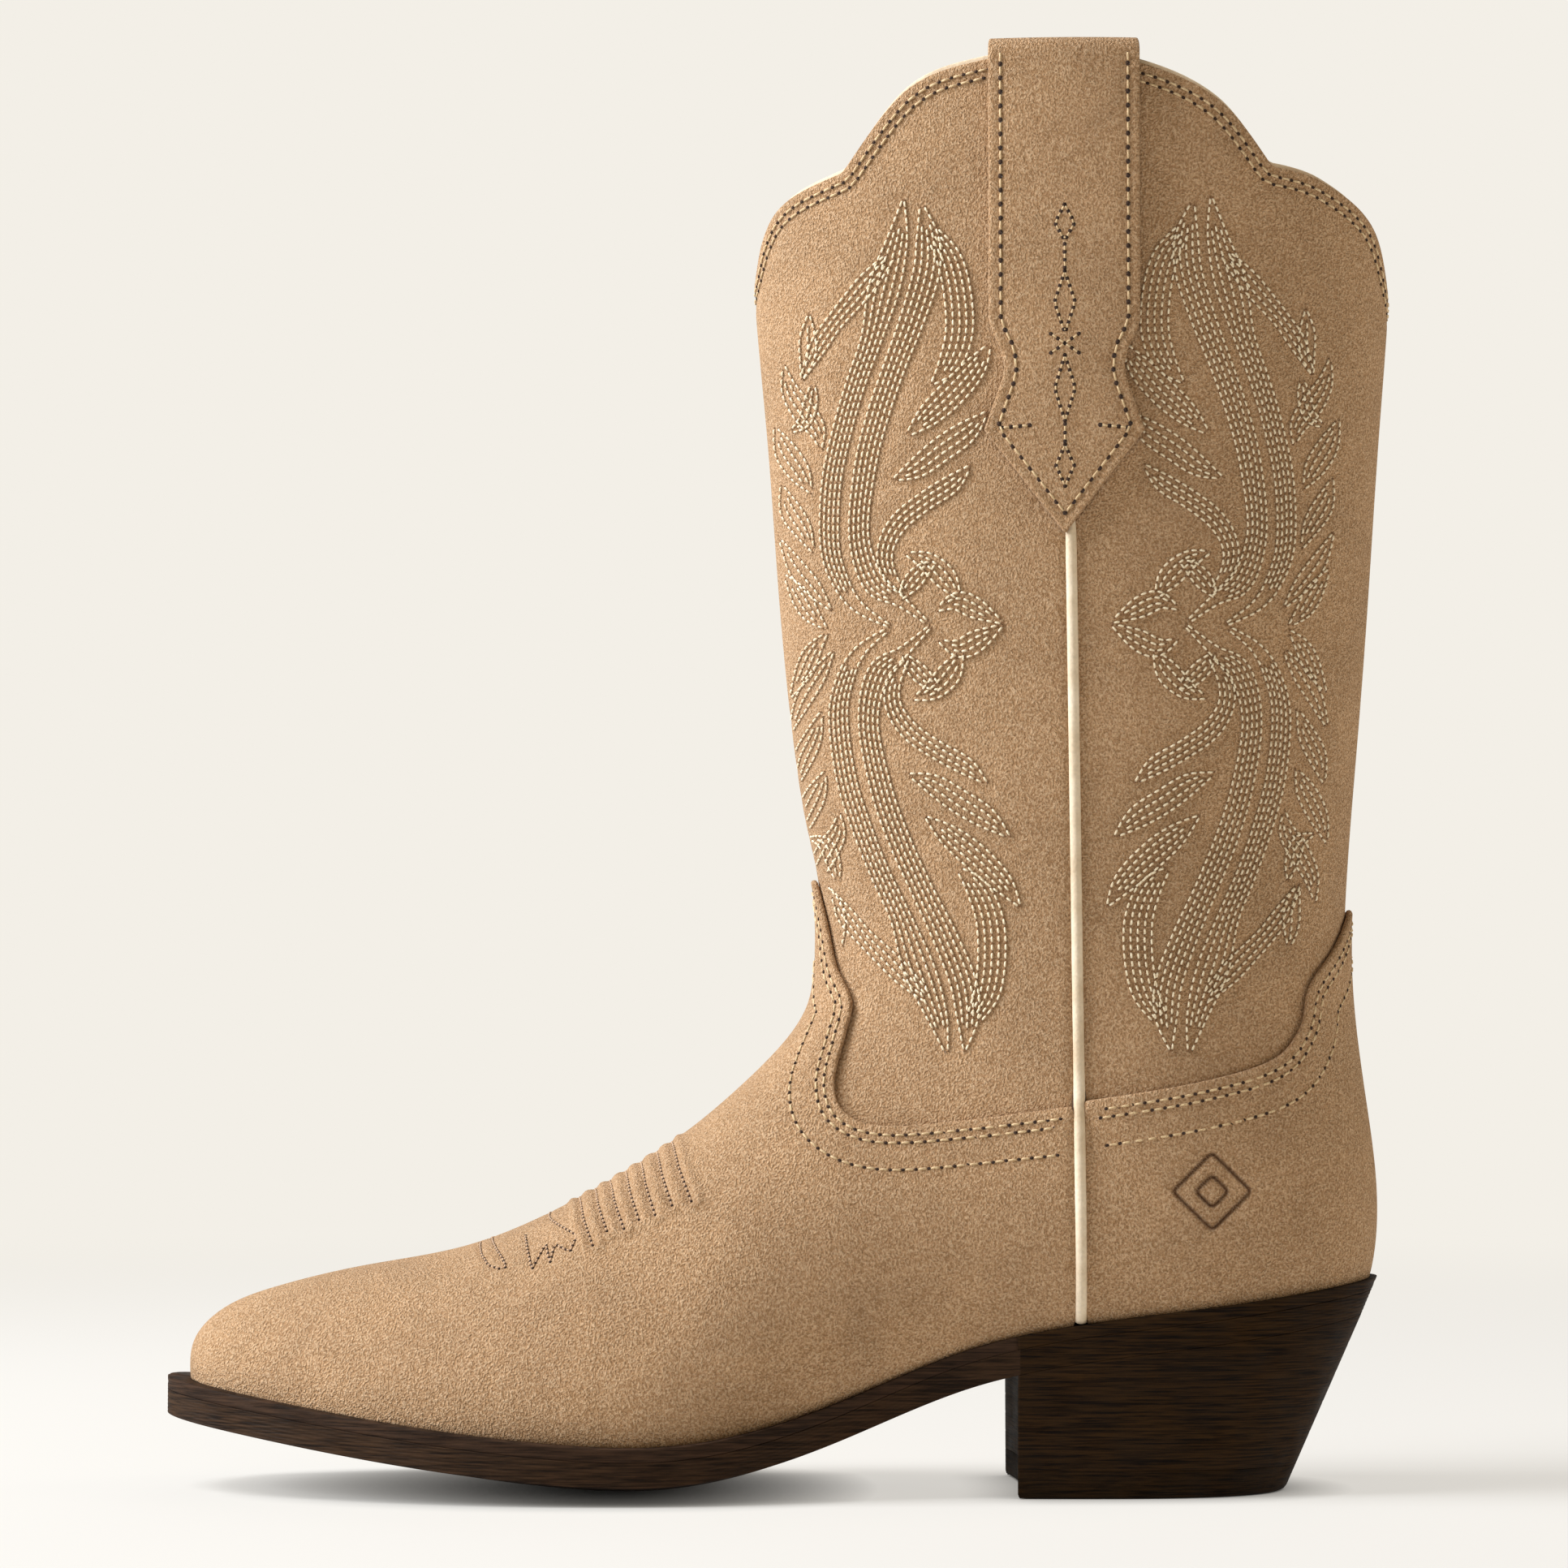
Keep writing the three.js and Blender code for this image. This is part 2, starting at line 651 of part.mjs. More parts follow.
/** The corded strip in one side seam. It stands proud, but lies flush where the pull strap covers it. */
function piping(half) {
  const inner = form(-PANEL_DEPTH - PANEL_THICKNESS);
  const flushZ = STRAP_TIP_Z - 2;
  const besideCovers = form(PIPING_PROUD).intersect(bandZ(BELOW, PIPING_STEP_Z));
  const besidePanels = form(PIPING_PROUD - PANEL_DEPTH).intersect(bandZ(PIPING_STEP_Z - JOIN, flushZ));
  const underStrap = form(-PANEL_DEPTH).intersect(bandZ(flushZ - JOIN, ABOVE));
  const left = seamLine(BELOW, SEAM_TOP_Z, -PIPING_WIDTH / 2);
  const right = seamLine(SEAM_TOP_Z, BELOW, PIPING_WIDTH / 2);
  const strip = block([...left, ...right].reverse());
  return besideCovers.add(besidePanels).add(underStrap).subtract(inner)
    .intersect(strip).intersect(upperSpace).intersect(half);
}

// Corners down the pull strap's side: share of its half width, and height
const STRAP_CORNERS = { shoulder: [1, 272], hollow: [0.72, 264], neck: [0.82, 259], point: [1.06, 247] };

/** The pull strap's outer face: straight, then a waist, two points and a tip. */
function strapOutline() {
  const shape = new THREE.Shape();
  const at = (side, z) => [STRAP_CENTRE_X + side * STRAP_HALF_WIDTH, z];
  const { shoulder, hollow, neck, point } = STRAP_CORNERS;
  const corner = (side, [width, z]) => at(side * width, z);
  shape.moveTo(...at(-1, STRAP_TOP_Z));
  shape.lineTo(...corner(-1, shoulder));
  shape.quadraticCurveTo(...corner(-1, hollow), ...corner(-1, neck));
  shape.lineTo(...corner(-1, point));
  shape.lineTo(...at(0, STRAP_TIP_Z));
  shape.lineTo(...corner(1, point));
  shape.lineTo(...corner(1, neck));
  shape.quadraticCurveTo(...corner(1, hollow), ...corner(1, shoulder));
  shape.lineTo(...at(1, STRAP_TOP_Z));
  return shape;
}

/** One pull strap: sewn to the outside, over the top edge, and down the lining. */
function pullStrap(half) {
  const outside = STRAP_THICKNESS - PANEL_DEPTH + GAP;
  const inside = -INSIDE_DEPTH - STRAP_THICKNESS;
  const left = STRAP_CENTRE_X - STRAP_HALF_WIDTH;
  const right = STRAP_CENTRE_X + STRAP_HALF_WIDTH;
  const overTop = block([
    [left, STRAP_TOP_Z - STRAP_THICKNESS],
    [right, STRAP_TOP_Z - STRAP_THICKNESS],
    [right, STRAP_TOP_Z],
    [left, STRAP_TOP_Z],
  ]);
  const innerLeg = block([
    [left, STRAP_INNER_END_Z],
    [right, STRAP_INNER_END_Z],
    [right, STRAP_TOP_Z],
    [left, STRAP_TOP_Z],
  ]);
  return shell(outside, GAP - PANEL_DEPTH).intersect(sideBlock(strapOutline()))
    .add(shell(-INSIDE_DEPTH, inside).intersect(innerLeg))
    .add(shell(outside, inside).intersect(overTop))
    .intersect(half);
}

// ---------------------------------------------------------------- the bottom

/** How far the sole stands out past the upper along the boot. */
const soleMargin = splineThrough([
  [-146, TOE_MARGIN],
  [-100, TOE_MARGIN],
  [-40, BALL_MARGIN],
  [-5, BALL_BACK_MARGIN],
  [25, WAIST_MARGIN],
  [60, SEAT_MARGIN],
  [150, SEAT_MARGIN],
]);
const weltTop = -GAP / 2;
const weltBottom = weltTop - WELT_THICKNESS;
const outsoleTop = weltBottom - GAP;
const outsoleBottom = outsoleTop - OUTSOLE_THICKNESS;
const insoleBottom = GAP / 2;
const insoleTop = insoleBottom + INSOLE_THICKNESS;
const footbedBottom = insoleTop + GAP;
const footbedTop = footbedBottom + FOOTBED_THICKNESS;

const weltWell = () => plate(plateRows(() => -WELT_LAP), level(-WELL_REACH), level(WELL_REACH));

/** An x position at a height of the sole: behind the breast, the edge comes forward on its way down. */
function leanedX(x, height) {
  const share = THREE.MathUtils.clamp((x - HEEL_BREAST_X) / (SEAT_X + SEAT_MARGIN - HEEL_BREAST_X), 0, 1);
  return x - HEEL_LEAN * (weltTop - height) * share;
}

const leaned = (rows, height) => rows.map((row) => row.map(([x, y]) => [leanedX(x, height), y]));

/** A plate of the sole's own outline, from one height to another above the feather line. */
function solePlate(low, high) {
  const rows = plateRows(soleMargin);
  return plate(leaned(rows, low), level(low), level(high), leaned(rows, high));
}

const rimPlate = () => solePlate(weltBottom, weltTop).subtract(weltWell());
const fillerRows = () => plateRows(() => -WELT_LAP - GAP);
const fillerPlate = () => plate(fillerRows(), level(weltBottom + GAP), level(weltTop));

const welt = () => rimPlate().intersect(between(-FAR, HEEL_BREAST_X - GAP / 2));
const heelRand = () => rimPlate().intersect(between(HEEL_BREAST_X + GAP / 2, FAR));
const corkFiller = () => fillerPlate().intersect(between(-FAR, CORK_BACK_X - GAP / 2));

const NAIL_BODY_RADIUS = 1.1;
const NAIL_HEAD_RADIUS = 2.6;
const NAIL_HEAD_THICKNESS = 0.9;
const NAIL_LENGTH = 27;
const NAIL_DEPTH = 0.7; // from the insole board's face to the nail's head
const NAIL_PLACES = [
  [80, -15],
  [80, 15],
  [106, -15],
  [106, 15],
  [124, 0],
];

function cylinder(radius, bottom, top, [x, y]) {
  const geometry = new THREE.CylinderGeometry(radius, radius, top - bottom, PIN_SIDES);
  geometry.rotateX(Math.PI / 2);
  geometry.translate(x, y, (top + bottom) / 2);
  return solid(geometry);
}

/** Height of a nail's head top: just below the face of the insole board, all round. */
const nailTop = ([x]) => featherHeight(x) + insoleTop - NAIL_DEPTH;

function heelNail(place) {
  const top = nailTop(place);
  const head = cylinder(NAIL_HEAD_RADIUS, top - NAIL_HEAD_THICKNESS, top, place);
  return cylinder(NAIL_BODY_RADIUS, top - NAIL_LENGTH, top - JOIN, place).add(head);
}

/** The holes that all the heel nails need, with clearance. */
function nailHoles() {
  return NAIL_PLACES.map((place) => {
    const top = nailTop(place);
    const body = cylinder(NAIL_BODY_RADIUS + GAP, top - NAIL_LENGTH - GAP, top, place);
    const seat = top - NAIL_HEAD_THICKNESS - GAP;
    return body.add(cylinder(NAIL_HEAD_RADIUS + GAP, seat, top + INSOLE_THICKNESS, place));
  }).reduce((all, one) => all.add(one));
}

const nailClearance = nailHoles();

const RIVET_BODY_RADIUS = 1.4;
const RIVET_HEAD_RADIUS = 2.8;
const RIVET_HEAD_THICKNESS = 0.6;
const RIVET_X = [62, 98];
const shankTop = weltTop - GAP - RIVET_HEAD_THICKNESS - GAP;
const shankBottom = shankTop - SHANK_THICKNESS;

/** A strip along the middle of the boot, for the steel shank and its slot. */
function shankStrip(clearance, low, high) {
  const rows = [];
  const steps = 12;
  for (let i = 0; i <= steps; i++) {
    const x = THREE.MathUtils.lerp(SHANK_FRONT_X - clearance, SHANK_BACK_X + clearance, i / steps);
    rows.push([
      [x, -SHANK_WIDTH / 2 - clearance],
      [x, SHANK_WIDTH / 2 + clearance],
    ]);
  }
  return plate(rows, level(low), level(high));
}

/** A pin lying along the slope of the bottom at x, from one height to another above the feather line. */
function slopedPin(x, radius, low, high) {
  const slope = Math.atan(featherHeight(x + 0.5) - featherHeight(x - 0.5));
  const geometry = new THREE.CylinderGeometry(radius, radius, high - low, PIN_SIDES);
  geometry.rotateX(Math.PI / 2);
  geometry.translate(0, 0, (low + high) / 2);
  geometry.rotateY(-slope);
  geometry.translate(x, 0, featherHeight(x) - CROWN * crownShare(x, 0));
  return solid(geometry);
}

function shankRivet(x) {
  const head = slopedPin(x, RIVET_HEAD_RADIUS, shankTop + GAP, shankTop + GAP + RIVET_HEAD_THICKNESS);
  return slopedPin(x, RIVET_BODY_RADIUS, weltBottom + GAP, shankTop + GAP + JOIN).add(head);
}

const rivetHoles = () => RIVET_X
  .map((x) => slopedPin(x, RIVET_BODY_RADIUS + GAP, weltBottom - 2, weltTop + 2))
  .reduce((all, one) => all.add(one));

const shank = () => shankStrip(0, shankBottom, shankTop).subtract(rivetHoles());

function shankBoard() {
  const slot = shankStrip(GAP, shankBottom - GAP, weltTop + 3);
  return fillerPlate().intersect(between(CORK_BACK_X + GAP / 2, FAR))
    .subtract(slot).subtract(rivetHoles()).subtract(nailClearance);
}

const insideSpace = () => form(-INSIDE_DEPTH);
const insideMargin = () => 2;

/** A plate that fills the foot's space from side to side. */
function innerPlate(low, high) {
  return plate(plateRows(insideMargin), level(low), level(high)).intersect(insideSpace());
}

const insoleBoard = () => innerPlate(insoleBottom, insoleTop).subtract(nailClearance);

function heelPadBlank(clearance) {
  const rows = plateRows(() => clearance - HEEL_PAD_INSET, HEEL_PAD_FRONT_X - clearance);
  const high = footbedBottom + HEEL_PAD_THICKNESS + clearance;
  return plate(rows, level(footbedBottom - 3 * clearance), level(high));
}

const heelPad = () => heelPadBlank(0);
const footbed = () => innerPlate(footbedBottom, footbedTop).subtract(heelPadBlank(GAP));

const outsole = () => solePlate(outsoleBottom, outsoleTop).subtract(nailClearance);
const heelTop = outsoleBottom - GAP;

const heelTopRows = () => leaned(plateRows(() => SEAT_MARGIN, HEEL_BREAST_X), heelTop);

/** The heel's outline at a given height: it tapers from the seat to the top lift. */
function heelRows(height) {
  const topBackX = leanedX(SEAT_X + SEAT_MARGIN, heelTop);
  return heelTopRows().map((row) => row.map(([x, y]) => {
    const share = height / (featherHeight(x) + heelTop);
    const lowX = THREE.MathUtils.mapLinear(x, HEEL_BREAST_X, topBackX, HEEL_BREAST_X, HEEL_BOTTOM_BACK_X);
    return [THREE.MathUtils.lerp(lowX, x, share), y * THREE.MathUtils.lerp(HEEL_BOTTOM_WIDTH, 1, share)];
  }));
}

function heelBlock() {
  const bottom = HEEL_CAP_THICKNESS + GAP;
  const blank = plate(heelRows(bottom), () => bottom, level(heelTop), heelTopRows());
  return blank.subtract(nailClearance);
}

const heelCap = () => plate(heelRows(0), () => 0, () => HEEL_CAP_THICKNESS, heelRows(HEEL_CAP_THICKNESS));

// ---------------------------------------------------------------- materials and assembly

const SUEDE = { color: 0xb98a62, roughness: 0.95, metalness: 0 };
const PIPING_LEATHER = { color: 0xe8dcc6, roughness: 0.7, metalness: 0 };
const LINING_LEATHER = { color: 0xdccbb0, roughness: 0.75, metalness: 0 };
const STIFF_BOARD = { color: 0x8a6b4a, roughness: 0.9, metalness: 0 };
const BACKING_CLOTH = { color: 0xd8d2c4, roughness: 0.95, metalness: 0 };
const CORK = { color: 0xa97c4e, roughness: 0.95, metalness: 0 };
const FOAM = { color: 0xcdbfa6, roughness: 0.95, metalness: 0 };
const WELT_LEATHER = { color: 0x5e4332, roughness: 0.6, metalness: 0 };
const SOLE_LEATHER = { color: 0x3f2c22, roughness: 0.55, metalness: 0 };
const HEEL_LEATHER = { color: 0x35231a, roughness: 0.5, metalness: 0 };
const HEEL_RUBBER = { color: 0x2a1d17, roughness: 0.8, metalness: 0 };
const STEEL = { color: 0xb4b6b8, roughness: 0.35, metalness: 1 };

/** A named mesh from a finished solid. */
function part(name, manifold, finish) {
  const { vertProperties, triVerts, numProp } = manifold.getMesh();
  const positions = [];
  for (let i = 0; i < vertProperties.length; i += numProp) {
    positions.push(...vertProperties.slice(i, i + 3));
  }
  const geometry = new THREE.BufferGeometry();
  geometry.setAttribute("position", new THREE.Float32BufferAttribute(positions, 3));
  geometry.setIndex([...triVerts]);
  const flat = geometry.toNonIndexed();
  flat.computeVertexNormals();
  const mesh = new THREE.Mesh(flat, new THREE.MeshStandardMaterial(finish));
  mesh.name = name;
  return mesh;
}

function buildUpper() {
  const upper = new THREE.Group();
  upper.add(
    part("vamp", vamp(), SUEDE),
    part("counter_cover", counterCover(), SUEDE),
    part("front_shaft_panel", frontShaftPanel(), SUEDE),
    part("back_shaft_panel", backShaftPanel(), SUEDE),
    part("piping_outside", piping(outerHalf), PIPING_LEATHER),
    part("piping_inside", piping(innerHalf), PIPING_LEATHER),
    part("pull_strap_outside", pullStrap(outerHalf), SUEDE),
    part("pull_strap_inside", pullStrap(innerHalf), SUEDE),
    part("toe_puff", toePuff(), STIFF_BOARD),
    part("vamp_backer", vampBacker(), BACKING_CLOTH),
    part("heel_stiffener", heelStiffener(), STIFF_BOARD),
    part("vamp_lining", vampLining(), LINING_LEATHER),
    part("counter_lining", counterLining(), LINING_LEATHER),
    part("shaft_lining_front", shaftLiningFront(), LINING_LEATHER),
    part("shaft_lining_back", shaftLiningBack(), LINING_LEATHER),
  );
  return upper;
}

function buildBottom() {
  const bottom = new THREE.Group();
  bottom.add(
    part("welt", welt(), WELT_LEATHER),
    part("heel_rand", heelRand(), WELT_LEATHER),
    part("cork_filler", corkFiller(), CORK),
    part("shank_board", shankBoard(), STIFF_BOARD),
    part("shank", shank(), STEEL),
    part("shank_rivet_front", shankRivet(RIVET_X[0]), STEEL),
    part("shank_rivet_back", shankRivet(RIVET_X[1]), STEEL),
    part("insole_board", insoleBoard(), STIFF_BOARD),
    part("footbed", footbed(), LINING_LEATHER),
    part("heel_pad", heelPad(), FOAM),
    part("outsole", outsole(), SOLE_LEATHER),
    part("heel_block", heelBlock(), HEEL_LEATHER),
    part("heel_cap", heelCap(), HEEL_RUBBER),
    ...NAIL_PLACES.map((place, i) => part(`heel_nail_${i + 1}`, heelNail(place), STEEL)),
  );
  return bottom;
}

/** Moves the finished boot so that it stands on Z = 0, centred on the origin. */
function centred(group) {
  const box = new THREE.Box3().setFromObject(group);
  const middle = box.getCenter(new THREE.Vector3());
  group.position.set(-middle.x, -middle.y, -box.min.z);
  return group;
}

const boot = new THREE.Group();
boot.add(buildUpper(), buildBottom());

export default centred(boot);
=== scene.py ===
"""Looks of the left western boot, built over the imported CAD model.

Lengths are millimetres in the boot's own drawing axes: X from toe to heel, Y from the outer to the
inner side and Z up. to_row() turns them into metres in the row frame. A place on the leather is a
pair (u, angle): u is the station number along the form, from toe to top, and angle goes round a
section from the ridge, positive on the outer side.
"""

import math

import bmesh
import bpy
import numpy as np
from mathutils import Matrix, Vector, kdtree
from mathutils.geometry import delaunay_2d_cdt


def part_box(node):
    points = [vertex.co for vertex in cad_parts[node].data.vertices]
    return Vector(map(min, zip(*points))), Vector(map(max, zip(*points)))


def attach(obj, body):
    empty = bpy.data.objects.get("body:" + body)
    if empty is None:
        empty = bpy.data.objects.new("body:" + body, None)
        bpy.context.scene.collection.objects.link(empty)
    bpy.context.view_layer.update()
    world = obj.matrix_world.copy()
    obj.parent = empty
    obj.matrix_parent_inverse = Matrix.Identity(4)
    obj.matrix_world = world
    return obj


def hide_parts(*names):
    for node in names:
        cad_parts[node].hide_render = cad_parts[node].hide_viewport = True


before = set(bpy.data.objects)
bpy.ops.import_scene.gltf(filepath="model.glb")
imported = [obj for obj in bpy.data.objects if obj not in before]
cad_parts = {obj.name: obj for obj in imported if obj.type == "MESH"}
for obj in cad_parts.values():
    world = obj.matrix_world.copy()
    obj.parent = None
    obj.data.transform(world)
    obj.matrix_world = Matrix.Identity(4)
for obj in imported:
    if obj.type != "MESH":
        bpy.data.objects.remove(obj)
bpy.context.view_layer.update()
MM = 0.001

# ---------------------------------------------------------------- driving dimensions

HEEL_BREAST_X = 56.7
SHANK_WIDTH = 15.0
SHIFT = np.array([
    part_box("heel_block")[0].x / MM - HEEL_BREAST_X,
    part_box("shank")[0].y / MM + SHANK_WIDTH / 2,
    0.0,
])

GAP = 0.3
COVER_THICKNESS = 1.5
PANEL_THICKNESS = 1.5
LINING_THICKNESS = 1.2
STRAP_THICKNESS = 1.8
PANEL_DEPTH = COVER_THICKNESS + GAP
LINING_DEPTH = PANEL_DEPTH + PANEL_THICKNESS + GAP

WELT_TOP = -GAP / 2
WELT_BOTTOM = WELT_TOP - 3.0
OUTSOLE_BOTTOM = WELT_BOTTOM - GAP - 5.5
JOINT = 0.03  # between pieces that are glued together
WELT_LAP = 3.0
FOOTBED_BOTTOM = 3.45
FOOTBED_TOP = 7.95
FOOTBED_INSET = 5.4
TOE_MARGIN = 5.5
BALL_MARGIN = 4.8
BALL_BACK_MARGIN = 3.6
WAIST_MARGIN = 1.6
SEAT_MARGIN = 1.8

HEEL_BOTTOM_BACK_X = 121.5
HEEL_BOTTOM_WIDTH = 0.92
HEEL_LEAN = 0.43
HEEL_CAP_THICKNESS = 6.0
BREAST_HOLLOW = 3.0

SEAM_WIDTH = 3.2
PIPING_RADIUS = 1.36
STRAP_CENTRE_X = 68.0
STRAP_HALF_WIDTH = 17.7
STRAP_TIP_Z = 222.7
STRAP_TOP_Z = 339.2
STRAP_INNER_END_Z = 256.0

OUTER = 1
INNER = -1
FRONT = -1
BACK = 1
SIDES = ((OUTER, "outside"), (INNER, "inside"))

# Stations of the form, as in the CAD source: ridge x, ridge z, under x, under z, outer half width,
# inner half width, middle y, roundness at the ridge, roundness underneath
STATIONS = np.array([
    [-139, 29, -139, 29, 0, 0, 5, 0.5, 0.5],
    [-137.1, 36.2, -137.4, 19, 8, 8, 5, 0.5, 0.5],
    [-131, 41.9, -132.3, 11, 15.5, 15.5, 4.8, 0.5, 0.42],
    [-118.4, 47, -119.3, 5, 24, 24, 4, 0.48, 0.3],
    [-97, 52.1, -98, 3, 33.5, 33, 2.5, 0.46, 0.22],
    [-73.3, 56.7, -74, 0, 41, 39.5, 1.2, 0.45, 0.2],
    [-49.8, 66.3, -46, -2, 45, 43, 0.2, 0.45, 0.2],
    [-26.3, 79.9, -14, -1, 44, 39, 0, 0.45, 0.2],
    [-10, 92.6, 20, 9, 39, 34.5, 0, 0.46, 0.33],
    [1.5, 103.8, 58, 20, 36, 33.5, 0, 0.48, 0.38],
    [7.4, 112, 100, 28, 35, 34, 0, 0.5, 0.33],
    [9.6, 119.5, 135.3, 38, 34.5, 34, 0, 0.5, 0.38],
    [10.2, 128, 143.8, 61, 34.5, 34, 0, 0.5, 0.44],
    [10, 137, 141.9, 90, 34.5, 34.5, 0, 0.5, 0.5],
    [8.8, 146, 138.8, 118, 34.8, 34.8, 0, 0.5, 0.5],
    [6.2, 158, 139.4, 145, 35.3, 35.3, 0, 0.5, 0.5],
    [3.4, 176, 141.8, 173, 36, 36, 0, 0.5, 0.5],
    [-0.2, 212, 145, 211, 37.2, 37.2, 0, 0.5, 0.5],
    [-3, 250, 147.9, 250, 38.4, 38.4, 0, 0.5, 0.5],
    [-6, 284, 150.6, 284, 39.6, 39.6, 0, 0.5, 0.5],
    [-7, 345, 152, 345, 41, 41, 0, 0.5, 0.5],
])

FEATHER = [
    [-142, 26],
    [-106, 20.4],
    [-50, 13.8],
    [-22, 13.4],
    [15, 22.3],
    [46, 34.4],
    [72, 40],
    [105, 44.2],
    [144, 50.2],
]
SEAM = [[20, 71.5], [139, 70.5], [345, 67.5]]
CROWN_SHAPE = [[-140, 0.15], [-90, 0.7], [-32, 1], [20, 0.35], [70, 0], [144, 0]]
SOLE_MARGIN = [
    [-146, TOE_MARGIN],
    [-100, TOE_MARGIN],
    [-40, BALL_MARGIN],
    [-5, BALL_BACK_MARGIN],
    [25, WAIST_MARGIN],
    [60, SEAT_MARGIN],
    [150, SEAT_MARGIN],
]

# Cut edges of the upper, seen from the side
FRONT_LOBE = [[-14, 262], [-6, 281], [-2.2, 297], [3.5, 304.4], [16.6, 309.3]]
CREST = [[16.6, 309.3], [31.4, 327.4], [48, 333.4], [68, 334.8], [88, 332.2], [105, 324.4], [117.3, 309.9]]
CREST_Z = CREST[3][1]
BACK_LOBE = [[117.3, 309.9], [130, 307.3], [143.3, 298.5], [149.5, 281], [158, 262]]
VAMP_EDGE = [
    [68.9, 89.6],
    [45, 86.7],
    [26, 85.4],
    [16.6, 88.6],
    [14, 96],
    [16.5, 107.5],
    [17.8, 115],
    [14.2, 123],
    [12, 133],
    [9.5, 143],
]
VAMP_TIP_Z = 143.3
COVER_SEAM_Z = 40  # where the side seams of the vamp and the counter cover begin
COUNTER_EDGE = [
    [72.9, 91],
    [98.6, 95.2],
    [117, 100.5],
    [124.5, 108.5],
    [127, 118],
    [134.5, 128],
    [141, 140.5],
]
FRONT_PANEL_EDGE = [[-60, 128], [-4, 98], [14, 80], [30, 75], [60, 77.5], [72, 78.4]]
BACK_PANEL_EDGE = [[68, 78], [80, 80], [112, 85], [160, 97]]
FRONT_LINING_EDGE = [[-60, 142], [-2, 112], [20, 94], [60, 92], [72, 92]]
BACK_LINING_EDGE = [[68, 92], [80, 92], [112, 97], [160, 109]]

# ---------------------------------------------------------------- curves


def natural_spline(points):
    """A smooth function through points whose first column rises."""
    points = np.asarray(points, float)
    knots, values = points[:, 0], points[:, 1:]
    count = len(knots)
    step = np.diff(knots)
    slope = np.diff(values, axis=0) / step[:, None]
    system = np.eye(count)
    target = np.zeros_like(values)
    for i in range(1, count - 1):
        system[i, i - 1] = step[i - 1]
        system[i, i] = 2 * (step[i - 1] + step[i])
        system[i, i + 1] = step[i]
        target[i] = 6 * (slope[i] - slope[i - 1])
    bend = np.linalg.solve(system, target)

    def at(x):
        x = np.asarray(x, float)
        i = np.clip(np.searchsorted(knots, x) - 1, 0, count - 2)
        width = step[i]
        a = ((knots[i + 1] - x) / width)[..., None]
        b = 1 - a
        curve = ((a**3 - a) * bend[i] + (b**3 - b) * bend[i + 1]) * (width**2 / 6)[..., None]
        return a * values[i] + b * values[i + 1] + curve

    return at


def scalar_spline(points):
    at = natural_spline(points)
    return lambda x: at(x)[..., 0]


feather_height = scalar_spline(FEATHER)
seam_x = scalar_spline([[z, x] for z, x in SEAM])
crown_shape = scalar_spline(CROWN_SHAPE)
sole_margin = scalar_spline(SOLE_MARGIN)


def smooth_curve(points, steps=12):
    """A Catmull-Rom curve through points, with a number of steps between each two."""
    points = np.asarray(points, float)
    padded = np.vstack([points[:1], points, points[-1:]])
    t = np.linspace(0, 1, steps, endpoint=False)[:, None]
    pieces = []
    for p0, p1, p2, p3 in zip(padded, padded[1:], padded[2:], padded[3:]):
        first = (p2 - p0) / 2
        last = (p3 - p1) / 2
        cube = 2 * p1 - 2 * p2 + first + last
        square = -3 * p1 + 3 * p2 - 2 * first - last
        pieces.append(cube * t**3 + square * t**2 + first * t + p1)
    return np.vstack([*pieces, points[-1:]])


def lengths_along(points):
    return np.concatenate([[0], np.cumsum(np.linalg.norm(np.diff(points, axis=0), axis=1))])


def evenly(points, spacing):
    """The same open line with its points an even distance apart."""
    reach = lengths_along(points)
    count = max(int(round(reach[-1] / spacing)), 1)
    at = np.linspace(0, reach[-1], count + 1)
    return np.stack([np.interp(at, reach, column) for column in np.asarray(points).T], 1)


def unit(vectors):
    return vectors / np.maximum(np.linalg.norm(vectors, axis=-1, keepdims=True), 1e-12)


def left_of(line):
    """Unit vectors to the left of a flat line, one for each of its points."""
    ahead = unit(np.gradient(line, axis=0))
    return np.stack([-ahead[:, 1], ahead[:, 0]], 1)


def softened(loop, times=1):
    """A closed loop whose points move towards the middle of their neighbours."""
    for _ in range(times):
        loop = (np.roll(loop, 1, axis=0) + 2 * loop + np.roll(loop, -1, axis=0)) / 4
    return loop


def smooth_step(share):
    share = np.clip(share, 0, 1)
    return share * share * (3 - 2 * share)


def search_tree(points):
    """A tree that finds the nearest of some solid or flat points."""
    tree = kdtree.KDTree(len(points))
    for i, point in enumerate(points):
        tree.insert((*point, 0)[:3], i)
    tree.balance()
    return tree


# ---------------------------------------------------------------- the form

MIRRORED = 2  # stations reflected past the toe, so that it closes smoothly


def with_reflection(stations):
    reflected = stations[MIRRORED:0:-1][:, [2, 3, 0, 1, 4, 5, 6, 8, 7]].copy()
    reflected[:, 4:6] *= -1
    return np.vstack([reflected, stations])


ALL_STATIONS = with_reflection(STATIONS)
LAST_U = len(STATIONS) - 1


def station_knots():
    change = np.abs(np.diff(ALL_STATIONS, axis=0))
    ridge = np.hypot(change[:, 0], change[:, 1])
    under = np.hypot(change[:, 2], change[:, 3])
    return np.concatenate([[0], np.cumsum((ridge + under) / 2 + change[:, 4] / 2)])


KNOTS = station_knots()
station_curve = natural_spline(np.column_stack([KNOTS, ALL_STATIONS]))


def knot_of(u):
    return np.interp(np.asarray(u, float) + MIRRORED, np.arange(len(KNOTS)), KNOTS)


def u_of(knot):
    return np.interp(knot, KNOTS, np.arange(len(KNOTS))) - MIRRORED


